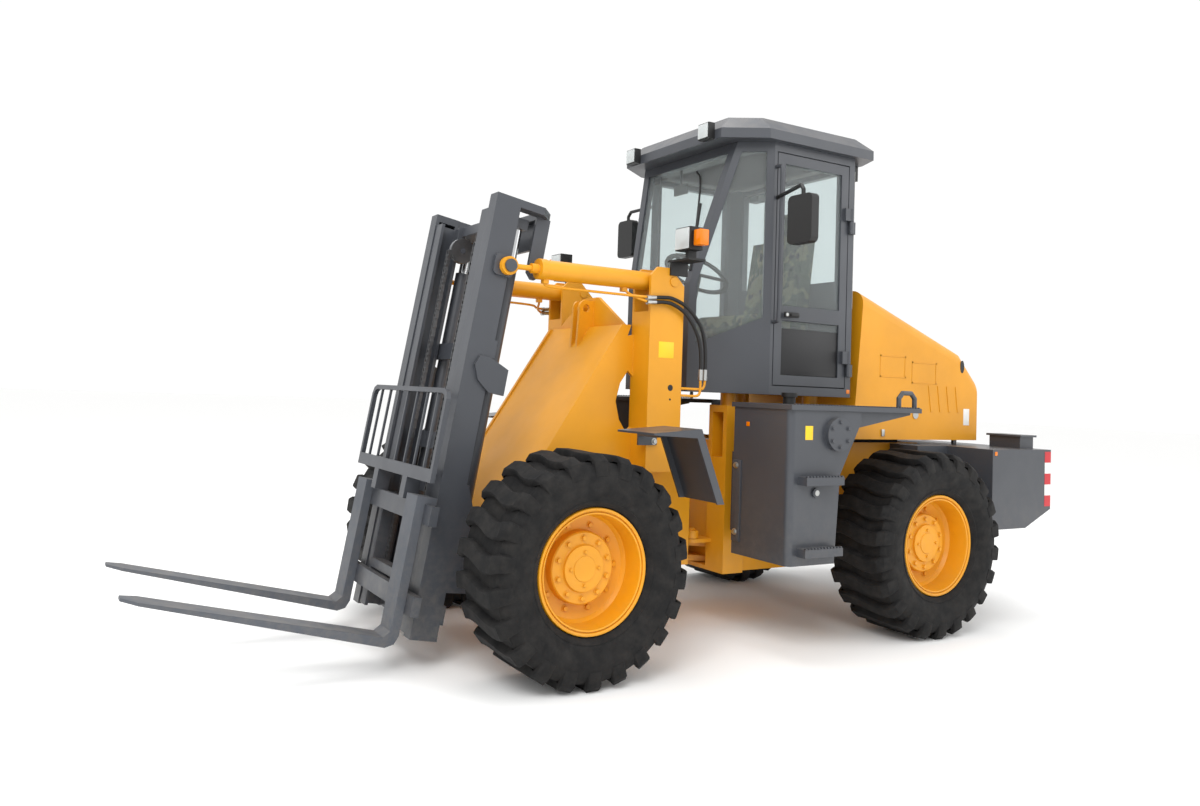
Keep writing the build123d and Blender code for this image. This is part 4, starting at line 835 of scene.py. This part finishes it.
@dataclass
class Hydraulics:
    """Pipes under the tilt cylinders, and the hoses from them over the towers."""

    pipe: float = 0.007
    hose: float = 0.010
    ports: Span = (14.0, -470.0)
    port_half: Span = (16.0, 15.0)
    port_y: float = 446.0
    port_z: Span = (1876.0, 1906.0)
    pipe_routes: tuple[tuple[Point, ...], ...] = (
        (
            (14, 446, 1884), (-10, 446, 1866), (-250, 446, 1862), (-430, 468, 1858),
            (-500, 528, 1850), (-548, 547, 1848),
        ),
        ((-470, 446, 1900), (-482, 466, 1872), (-505, 520, 1842), (-548, 550, 1824)),
    )
    hose_routes: tuple[tuple[Point, ...], ...] = (
        (
            (-600, 547, 1849), (-660, 547, 1854), (-717, 548, 1852), (-800, 550, 1822), (-868, 552, 1768),
            (-920, 552, 1700), (-944, 552, 1620), (-951, 552, 1540), (-951, 552, 1476),
        ),
        (
            (-600, 550, 1824), (-660, 550, 1828), (-717, 551, 1822), (-790, 553, 1788), (-850, 553, 1730),
            (-893, 553, 1660), (-914, 553, 1590), (-920, 553, 1520), (-920, 553, 1476),
        ),
    )
    feed_feet: Span = (1376.0, 1338.0)
    tower_rear: float = -812.0

    def build_pipes(self, side: Side) -> None:
        """Make the painted pipes on one cylinder.

        Args:
            side: which side.
        """
        label = side.name.lower()
        work = Work("tilt_pipes_" + label, "tilt_barrel_" + label, YELLOW)
        half_x, half_y = self.port_half
        for x in self.ports:
            work.block(around(x, half_x), around(side.value * self.port_y, half_y), self.port_z)
        for route in self.pipe_routes:
            work.tube(mirrored(route, side), self.pipe)
        work.finish_piece()

    def build_hoses(self, side: Side) -> None:
        """Make the hoses, their ferrules and the feed pipes into one tower.

        Args:
            side: which side.
        """
        label = side.name.lower()
        ends = Work("hose_ends_" + label, "front", ZINC)
        feeds = Work("tilt_feeds_" + label, "front", YELLOW)
        for number, (route, foot) in enumerate(zip(self.hose_routes, self.feed_feet)):
            points = mirrored(route, side)
            work = Work(f"tilt_hose_{label}_{number}", "front", HOSE)
            path = work.tube(points, self.hose, 14)
            hose = work.finish_piece()
            for tip, inner in ((points[0], points[1]), (points[-1], points[-2])):
                away = (tip - inner).normalized()
                ends.rod(tip - away * 0.006, tip + away * 0.030, self.hose * 1.15, 16)
                ends.rod(tip + away * 0.030, tip + away * 0.052, self.hose * 1.35, 6)
            x, y, z = route[-1]
            turn = [(x, y, z - 50), (x, y, foot + 40), (x + 6, y - 1, foot + 12), (x + 26, y - 4, foot)]
            turn += [(self.tower_rear - 30, 527, foot), (self.tower_rear + 4, 520, foot)]
            feeds.tube(mirrored(turn, side), self.pipe)
        ends.finish_piece()
        feeds.finish_piece()

    def build(self) -> None:
        """Build both sides."""
        for side in Side:
            self.build_pipes(side)
            self.build_hoses(side)


@dataclass
class LiftChains:
    """Leaf chains hung in the inner mast."""

    pivot: Span = (330.0, 430.0)
    lean_deg: float = 9.8
    run: Span = (226.0, 168.0)
    foot: float = -60.0
    head: float = 1660.0
    pitch: float = 25.4
    width: float = 26.0
    depth: float = 20.0
    plate: float = 4.0
    lap: float = 5.0
    pin: float = 0.006
    pin_proud: float = 1.0
    lift: float = 1450.0

    def build(self) -> None:
        """Make the links of both chains in the mast's leaning frame."""
        lean = math.radians(self.lean_deg)
        stand = Matrix.Translation(place(self.pivot[0], 0, self.pivot[1])) @ Matrix.Rotation(-lean, 4, "Y")
        work = Work("lift_chain_links", "mast_inner", STEEL)
        x, run_y = self.run
        half = self.depth / 2
        for side in Side:
            for link in range(int((self.head - self.foot) / self.pitch)):
                z = self.foot + link * self.pitch
                reach = self.width / 2 - (link % 2) * self.plate
                for edge in (-1, 1):
                    outer = side.value * run_y + edge * reach
                    inner = outer - edge * self.plate
                    low = Vector((x - half, inner, z - self.lap)) / 1000
                    high = Vector((x + half, outer, z + self.pitch + self.lap)) / 1000
                    work.box(low, high, 0, stand)
                tips = around(side.value * run_y, self.width / 2 + self.pin_proud)
                start, end = (stand @ (Vector((x, y, z)) / 1000) for y in tips)
                work.rod(start, end, self.pin, 10)
        chains = work.finish_piece(30.0, ("lift_chains",))
        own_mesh(chains)


@dataclass
class Lamps:
    """Lenses of the work lamps, the indicators and the roof lamps."""

    head: Point = (-700.0, 640.0, 2160.0)
    head_half: float = 60.0
    roof: Point = (-1058.0, 352.0, 2858.0)
    rear: Point = (-2227.0, 398.0, 2762.0)
    roof_half: float = 46.0
    rim: float = 8.0
    lens_lap: float = 3.0
    lens_depth: Span = (2.0, 8.0)
    amber_x: Span = (-776.0, -717.0)
    amber_y: float = 732.0
    amber_half: Span = (28.0, 42.0)

    def build_lens(self, name: str, body: str, at: Point, half: float, ahead: int) -> None:
        """Make one reflector with its lens.

        Args:
            name: the lamp's name.
            body: the body that carries it.
            at: the middle of the lamp's face.
            half: half the lamp's width.
            ahead: 1 for a lamp that looks forwards, -1 for backwards.
        """
        x, y, z = at
        inner = half - self.rim
        outer = inner + self.lens_lap
        near, far = (x + ahead * depth for depth in self.lens_depth)
        back = Work(name + "_reflector", body, MIRROR)
        back.block((x - ahead, near), around(y, inner), around(z, inner), 1.0)
        back.finish_piece()
        pane = Work(name + "_lens", body, LENS)
        pane.block((near, far), around(y, outer), around(z, outer), 3.0)
        pane.finish_piece()

    def build(self) -> None:
        """Build every lamp face."""
        for side in Side:
            label = side.name.lower()
            x, y, z = self.head
            self.build_lens("head_lamp_" + label, "front", (x, y * side.value, z), self.head_half, 1)
            amber = Work("indicator_" + label, "front", AMBER)
            half_y, half_z = self.amber_half
            amber.block(self.amber_x, around(side.value * self.amber_y, half_y), around(z, half_z), 6.0)
            amber.finish_piece()
            for name, (x, y, z), ahead in (("roof_lamp_", self.roof, 1), ("rear_lamp_", self.rear, -1)):
                self.build_lens(name + label, "rear", (x, y * side.value, z), self.roof_half, ahead)


@dataclass
class FrontFrame:
    """Small fittings on the towers and fenders."""

    face_y: float = 526.0
    label: Span = (-703.0, 1578.0)
    label_half: Span = (50.0, 43.0)
    # Forward, up and radius of each hole.
    holes: tuple[Point, ...] = ((-738.0, 1377.0, 17.0), (-738.0, 1315.0, 6.0))
    bracket_y: float = 538.0
    bracket_bolts: tuple[Span, ...] = ((-632.0, 1092.0), (-632.0, 1134.0))

    def build(self) -> None:
        """Add the blank label, dark discs of painted shade in the holes, and the bolts."""
        add_plate("tower_label", "front", LABEL, self.label, self.label_half, self.face_y)
        # The dark discs are painted shade: they stand in for the dark inside of each hole.
        dark = Work("tower_holes", "front", TINT_AND_SHADE)
        bolts = Work("fender_bolts", "front", ZINC)
        for side in Side:
            out = Vector((0, side.value, 0))
            for x, z, radius in self.holes:
                spot = place(x, side.value * self.face_y, z)
                dark.rod(spot - out * 0.001, spot + out * 0.0006, radius / 1000, 28)
            for x, z in self.bracket_bolts:
                bolts.bolt(place(x, side.value * self.bracket_y, z), out, 0.026)
        dark.finish_piece()
        bolts.finish_piece()


@dataclass
class Cab:
    """Trim on and in the cab."""

    linings: tuple[tuple[Span, Span], ...] = (((-2110, -1260), (-430, 430)), ((-2040, -1430), (-510, 510)))
    lining_z: Span = (2784.0, 2807.0)
    dash: Block = ((-1250.0, -1085.0), (-235.0, 235.0), (1422.0, 1720.0))
    console: Block = ((-1960.0, -1560.0), (-500.0, -300.0), (1422.0, 1800.0))
    mirror: Block = ((-1300.0, -1282.0), (-190.0, -60.0), (2600.0, 2668.0))
    mirror_stem: tuple[Point, Point] = ((-1290.0, -125.0, 2660.0), (-1290.0, -125.0, 2790.0))
    door_panel: Block = ((-1956.0, -1500.0), (550.5, 554.0), (1478.0, 1745.0))
    handle_cup: Block = ((-1597.0, -1485.0), (586.0, 597.0), (1805.0, 1837.0))
    handle_grip: Block = ((-1591.0, -1525.0), (596.0, 607.0), (1812.0, 1828.0))
    lock: tuple[Point, Point] = ((-1501.0, 596.0, 1821.0), (-1501.0, 601.0, 1821.0))
    # The grab rail stands out by rail_y at rail_steps from either end of rail_z.
    rail_x: float = -1430.0
    rail_y: tuple[float, ...] = (556.0, 590.0, 602.0, 602.0)
    rail_z: Span = (1775.0, 2668.0)
    rail_steps: tuple[float, ...] = (0.0, 4.0, 30.0, 250.0)
    wiper_arm: tuple[Point, ...] = ((-1212, 120, 2690), (-1182, 190, 2600), (-1096, 260, 2250))
    wiper_blade: tuple[Point, ...] = ((-1150, 236, 2470), (-1094, 262, 2240), (-1050, 282, 2060))
    corner: tuple[Span, Span] = ((-2068.0, 560.0), (-2150.0, 478.0))
    corner_shares: Span = (0.12, 0.88)
    corner_z: Span = (1900.0, 2735.0)
    pane_thick: float = 0.0015
    reflector: Block = ((-2062.0, -2036.0), (558.0, 562.0), (1384.0, 1408.0))

    def build_inside(self) -> None:
        """Add the headliner, the dash, the side console and the mirror over the windscreen."""
        lining = Work("cab_headliner", "rear", LINING)
        for x, y in self.linings:
            lining.block(x, y, self.lining_z, 4.0)
        lining.finish_piece()
        dash = Work("cab_dash", "rear", BLACK)
        for block, bevel in ((self.dash, 30.0), (self.console, 30.0), (self.mirror, 8.0)):
            dash.block(*block, bevel)
        dash.rod(*(place(*end) for end in self.mirror_stem), 0.007, 12)
        dash.finish_piece()

    def build_door(self) -> None:
        """Add the dark lower panel, the handle and the lock."""
        panel = Work("door_panel", "door_left", TINT_AND_SHADE)
        panel.block(*self.door_panel, 1.0)
        panel.finish_piece()
        trim = Work("door_trim", "door_left", BLACK)
        trim.block(*self.handle_cup, 6.0)
        trim.block(*self.handle_grip, 4.0)
        trim.finish_piece()
        lock = Work("door_lock", "door_left", ZINC)
        lock.rod(*(place(*end) for end in self.lock), 0.010, 20)
        lock.finish_piece()

    def build_outside(self) -> None:
        """Add the grab rail, the wiper, pale sheets of painted light on the corner panes, and the reflector.
        """
        rail = Work("cab_grab_rail", "rear", SLATE)
        low, high = self.rail_z
        bends = list(zip(self.rail_y, self.rail_steps))
        route = [(self.rail_x, y, low + step) for y, step in bends]
        route += [(self.rail_x, y, high - step) for y, step in bends[::-1]]
        rail.tube(mirrored(route, Side.LEFT), 0.011)
        rail.finish_piece()
        wiper = Work("screen_wiper", "rear", BLACK)
        wiper.tube(mirrored(self.wiper_arm, Side.LEFT), 0.006, 10)
        wiper.tube(mirrored(self.wiper_blade, Side.LEFT), 0.008, 8)
        wiper.finish_piece()
        # The pale corner sheets are painted light: they make the corner glass look bright.
        panes = Work("corner_pane", "rear", WHITE)
        (x0, y0), (x1, y1) = self.corner
        spots = [(x0 + (x1 - x0) * t, y0 + (y1 - y0) * t) for t in self.corner_shares]
        bottom, top = self.corner_z
        ring = [(*spot, bottom) for spot in spots] + [(*spot, top) for spot in spots[::-1]]
        for side in Side:
            out = Vector((-self.pane_thick, side.value * self.pane_thick, 0))
            panes.slab(mirrored(ring, side), out)
        panes.finish_piece()
        spot = Work("cab_reflector", "rear", AMBER)
        spot.block(*self.reflector, 1.0)
        spot.finish_piece()

    def build(self) -> None:
        """Build the cab's trim."""
        self.build_inside()
        self.build_door()
        self.build_outside()


@dataclass
class SideTank:
    """Bolts, plugs and treads on one side's tank and deck."""

    side: Side
    face_y: float = 990.0
    cover: Span = (-1480.0, 1165.0)
    cover_y: float = 1016.0
    cover_bolts: int = 6
    cover_circle: float = 66.0
    plug: Span = (-1334.0, 862.0)
    steps: Span = (540.0, 905.0)
    step_x: float = -1345.0
    step_half: float = 135.0
    step_thick: float = 42.0
    step_teeth: int = 12
    # A row of teeth has its middle and half its depth.
    step_row: Span = (1042.0, 7.0)
    deck_edge: Span = (-2130.0, -1150.0)
    deck_top: float = 1314.0
    deck_row: Span = (995.0, 6.0)
    tooth: float = 11.0
    flange_x: Span = (-1151.0, -1143.0)
    # The flange's middle and half its width.
    flange: Span = (610.0, 30.0)
    flange_z: Span = (560.0, 1000.0)
    flange_bolt_y: float = 606.0
    flange_bolts: Span = (610.0, 970.0)
    filler: Span = (-1440.0, 690.0)
    label: Span = (-1280.0, 1171.0)
    label_half: Span = (27.0, 36.0)
    reflector: Block = ((-1150.5, -1148.0), (670.0, 694.0), (1187.0, 1211.0))

    def build_treads(self, trim: Work) -> None:
        """Add the teeth on the steps and along the deck's edge.

        Args:
            trim: the mesh that takes them.
        """
        y, half_y = self.side.value * self.step_row[0], self.step_row[1]
        pitch = 2 * self.step_half / self.step_teeth
        for level in self.steps:
            top = level + self.step_thick
            for tooth in range(self.step_teeth):
                x = self.step_x - self.step_half + (tooth + 0.5) * pitch
                trim.block(around(x, self.tooth / 2), around(y, half_y), (top - 1, top + 8), 1.0)
        y, half_y = self.side.value * self.deck_row[0], self.deck_row[1]
        (rear, front), top = self.deck_edge, self.deck_top
        for tooth in range(int((front - rear) / (2 * self.tooth))):
            x = rear + (2 * tooth + 1) * self.tooth
            trim.block(around(x, self.tooth / 2), around(y, half_y), (top - 1, top + 6), 0)

    def build(self) -> None:
        """Build one side."""
        label, sign = self.side.name.lower(), self.side.value
        out = Vector((0, sign, 0))
        trim = Work("tank_trim_" + label, "rear", SLATE)
        for bolt in range(self.cover_bolts):
            angle = 2 * math.pi * (bolt + 0.5) / self.cover_bolts
            x = self.cover[0] + self.cover_circle * math.cos(angle)
            z = self.cover[1] + self.cover_circle * math.sin(angle)
            trim.bolt(place(x, sign * self.cover_y, z), out, 0.020)
        plug = place(self.plug[0], sign * self.face_y, self.plug[1])
        trim.rod(plug - out * 0.001, plug + out * 0.012, 0.026, 24)
        self.build_treads(trim)
        trim.block(self.flange_x, around(sign * self.flange[0], self.flange[1]), self.flange_z, 1.0)
        trim.finish_piece()
        bright = Work("tank_bolts_" + label, "rear", ZINC)
        for z in self.flange_bolts:
            bright.bolt(place(self.flange_x[1], sign * self.flange_bolt_y, z), Vector((1, 0, 0)), 0.026)
        bright.rod(plug + out * 0.011, plug + out * 0.015, 0.015, 20)
        bright.finish_piece()
        cap = Work("filler_cap_" + label, "rear", BLACK)
        seat = place(self.filler[0], sign * self.filler[1], self.deck_top)
        up = Vector((0, 0, 1))
        cap.rod(seat - up * 0.001, seat + up * 0.040, 0.034, 20)
        cap.rod(seat + up * 0.038, seat + up * 0.062, 0.044, 12)
        cap.finish_piece()

    def build_labels(self) -> None:
        """Add the blank label and the small reflector of the side in view."""
        add_plate("tank_label", "rear", LABEL, self.label, self.label_half, self.face_y)
        spot = Work("tank_reflector", "rear", AMBER)
        spot.block(*self.reflector, 0.5)
        spot.finish_piece()


@dataclass
class Hood:
    """Ribs, a vent drawn as painted shade, lock and latches on the engine hood."""

    face_y: float = 484.0
    sink: float = 0.5
    ribs: tuple[float, ...] = (-2920.0, -3010.0, -3100.0, -3190.0)
    rib_z: Span = (1290.0, 1460.0)
    rib_half: Span = (11.0, 4.4)
    rib_lean: float = 34.0
    fields: tuple[tuple[Span, Span], ...] = (((-2660, -2420), (1500, 1640)), ((-2960, -2720), (1470, 1610)))
    border: float = 9.0
    vent: Span = (-3222.0, 1597.0)
    vent_half: Span = (20.0, 42.0)
    vent_points: int = 24
    lock: Span = (-2760.0, 1268.0)
    latch: Span = (-2453.0, 1150.0)
    latch_half: Span = (14.0, 22.0)
    label: Span = (-3273.0, 1262.0)
    label_half: Span = (30.0, 55.0)

    def on_face(self, line: list[Span], side: Side) -> list[Vector]:
        """Lay an outline on one side, sunk a little into the sheet."""
        return mirrored([(x, self.face_y - self.sink, z) for x, z in line], side)

    def rib_lines(self) -> list[list[Span]]:
        """Outline the leaning ribs, which narrow upwards.

        Returns:
            Four corners for each rib.
        """
        (foot, head), (wide, thin), lean = self.rib_z, self.rib_half, self.rib_lean
        ends = ((-wide, foot), (wide, foot), (lean + thin, head), (lean - thin, head))
        return [[(x + dx, z) for dx, z in ends] for x in self.ribs]

    def border_lines(self) -> list[list[Span]]:
        """Outline the raised borders round the two fields.

        Returns:
            Four corners for each side of each field.
        """
        lines = []
        wide = self.border
        for (x0, x1), (z0, z1) in self.fields:
            level = ((x0, x1, z0, z0 + wide), (x0, x1, z1 - wide, z1))
            upright = ((x0, x0 + wide, z0, z1), (x1 - wide, x1, z0, z1))
            lines += [[(a, c), (b, c), (b, d), (a, d)] for a, b, c, d in level + upright]
        return lines

    def vent_line(self) -> list[Span]:
        """Outline the oval vent.

        Returns:
            Points round the oval.
        """
        (x, z), (half_x, half_z) = self.vent, self.vent_half
        turns = [2 * math.pi * step / self.vent_points for step in range(self.vent_points)]
        return [(x + half_x * math.cos(turn), z + half_z * math.sin(turn)) for turn in turns]

    def build(self) -> None:
        """Build both sides of the hood."""
        shell = Work("hood_ribs", "hood", YELLOW)
        # The vent is a dark oval of painted shade, standing in for the shade inside the opening.
        dark = Work("hood_vents", "hood", TINT_AND_SHADE)
        bright = Work("hood_latches", "hood", ZINC)
        for side in Side:
            out = Vector((0, side.value * 0.004, 0))
            for line in self.rib_lines():
                shell.slab(self.on_face(line, side), out)
            for line in self.border_lines():
                shell.slab(self.on_face(line, side), out * 0.6)
            dark.slab(self.on_face(self.vent_line(), side), out * 0.5)
            y = side.value * self.face_y
            spot = place(self.lock[0], y, self.lock[1])
            bright.rod(spot - out * 0.2, spot + out * 1.2, 0.026, 24)
            (x, z), (half_x, half_z) = self.latch, self.latch_half
            bright.block(around(x, half_x), (y - side.value, y + side.value * 10), around(z, half_z), 3.0)
        shell.finish_piece()
        dark.finish_piece()
        bright.finish_piece()
        add_plate("hood_label", "hood", WHITE, self.label, self.label_half, self.face_y)


@dataclass
class Counterweight:
    """Striped strips at the rear corners."""

    face_y: float = 875.0
    strip_x: Span = (-3574.0, -3510.0)
    strip_z: Span = (712.0, 1062.0)
    bands: int = 5
    reflector: Block = ((-3018.0, -2994.0), (874.5, 877.0), (1038.0, 1062.0))

    def build(self) -> None:
        """Add the red and white bands and the reflector."""
        step = (self.strip_z[1] - self.strip_z[0]) / self.bands
        for finish, first in ((RED, 0), (WHITE, 1)):
            work = Work("strip_" + finish.name.split("_")[0].lower(), "rear", finish)
            for band in range(first, self.bands, 2):
                z = self.strip_z[0] + band * step
                for side in Side:
                    y = side.value * self.face_y
                    work.block(self.strip_x, (y - side.value * 0.5, y + side.value), (z, z + step), 0)
            work.finish_piece()
        spot = Work("weight_reflector", "rear", AMBER)
        spot.block(*self.reflector, 0.5)
        spot.finish_piece()


@dataclass
class Stage:
    """Floor, light and camera."""

    floor: str = "fcfcfb"
    eye: Point = (2289.0, 4342.0, 1355.0)
    yaw: float = -118.187
    pitch: float = 2.192
    roll: float = 2.192
    focal_px: float = 896.574
    centre_px: tuple[float, float] = (509.522, 351.461)
    picture: tuple[int, int] = (1200, 806)

    def build_floor(self) -> None:
        """Lay a plain pale floor."""
        bm = bmesh.new()
        bmesh.ops.create_grid(bm, x_segments=1, y_segments=1, size=60.0)
        mesh = bpy.data.meshes.new("studio_floor")
        bm.to_mesh(mesh)
        bm.free()
        shader = Shader("Studio_floor")
        shader.feed(shader.bsdf, Base_Color=linear(self.floor), Roughness=0.9, Specular_IOR_Level=0.1)
        mesh.materials.append(shader.material)
        floor = bpy.data.objects.new("studio_floor", mesh)
        floor.location.z = -0.0005
        bpy.context.scene.collection.objects.link(floor)

    def build_light(self) -> None:
        """Hang soft studio lights and a pale surround."""
        world = bpy.data.worlds.new("Studio")
        bpy.context.scene.world = world
        world.use_nodes = True
        back = world.node_tree.nodes["Background"]
        back.inputs[0].default_value = linear("ffffff")
        back.inputs[1].default_value = 1.02
        lamps = (
            ("key_light", (5.5, 5.5, 7.5), 420.0, 4.0),
            ("fill_light", (-6.0, 6.0, 5.0), 120.0, 6.0),
            ("top_light", (0.0, -1.0, 9.0), 260.0, 5.0),
        )
        for name, spot, power, size in lamps:
            data = bpy.data.lights.new(name, "AREA")
            data.energy = power
            data.size = size
            lamp = bpy.data.objects.new(name, data)
            lamp.location = spot
            lamp.rotation_euler = (Vector((0, 0, 1.0)) - Vector(spot)).to_track_quat("-Z", "Y").to_euler()
            bpy.context.scene.collection.objects.link(lamp)

    def build_camera(self) -> None:
        """Set the camera to the photo's viewing angle."""
        yaw, pitch, roll = (math.radians(a) for a in (self.yaw, self.pitch, self.roll))
        ahead = Vector((math.cos(yaw) * math.cos(pitch), math.sin(yaw) * math.cos(pitch), math.sin(pitch)))
        right0 = Vector((math.sin(yaw), -math.cos(yaw), 0))
        up0 = right0.cross(ahead)
        right = math.cos(roll) * right0 + math.sin(roll) * up0
        up = -math.sin(roll) * right0 + math.cos(roll) * up0
        data = bpy.data.cameras.new("photo_camera")
        data.sensor_width = 36.0
        data.lens = self.focal_px / self.picture[0] * 36.0
        data.shift_x = (self.picture[0] / 2 - self.centre_px[0]) / self.picture[0]
        data.shift_y = (self.centre_px[1] - self.picture[1] / 2) / self.picture[0]
        camera = bpy.data.objects.new("photo_camera", data)
        rows = Matrix((right, up, -ahead)).transposed().to_4x4()
        camera.matrix_world = Matrix.Translation(place(*self.eye)) @ rows
        bpy.context.scene.collection.objects.link(camera)
        bpy.context.scene.camera = camera

    def build(self) -> None:
        """Build the stage and set the picture."""
        self.build_floor()
        self.build_light()
        self.build_camera()
        scene = bpy.context.scene
        scene.render.resolution_x, scene.render.resolution_y = self.picture
        scene.view_settings.view_transform = "Standard"


def main() -> None:
    """Build and dress every sub-assembly in order."""
    logging.basicConfig(level=logging.INFO, format="%(message)s")
    CadFinish().dress()
    for name, side in (
        ("front_left", Side.LEFT),
        ("front_right", Side.RIGHT),
        ("rear_left", Side.LEFT),
        ("rear_right", Side.RIGHT),
    ):
        Wheel(name, side).build()
    Hydraulics().build()
    LiftChains().build()
    Lamps().build()
    FrontFrame().build()
    Cab().build()
    for side in Side:
        SideTank(side).build()
    SideTank(Side.LEFT).build_labels()
    Hood().build()
    Counterweight().build()
    Stage().build()


if __name__ == "__main__":
    main()
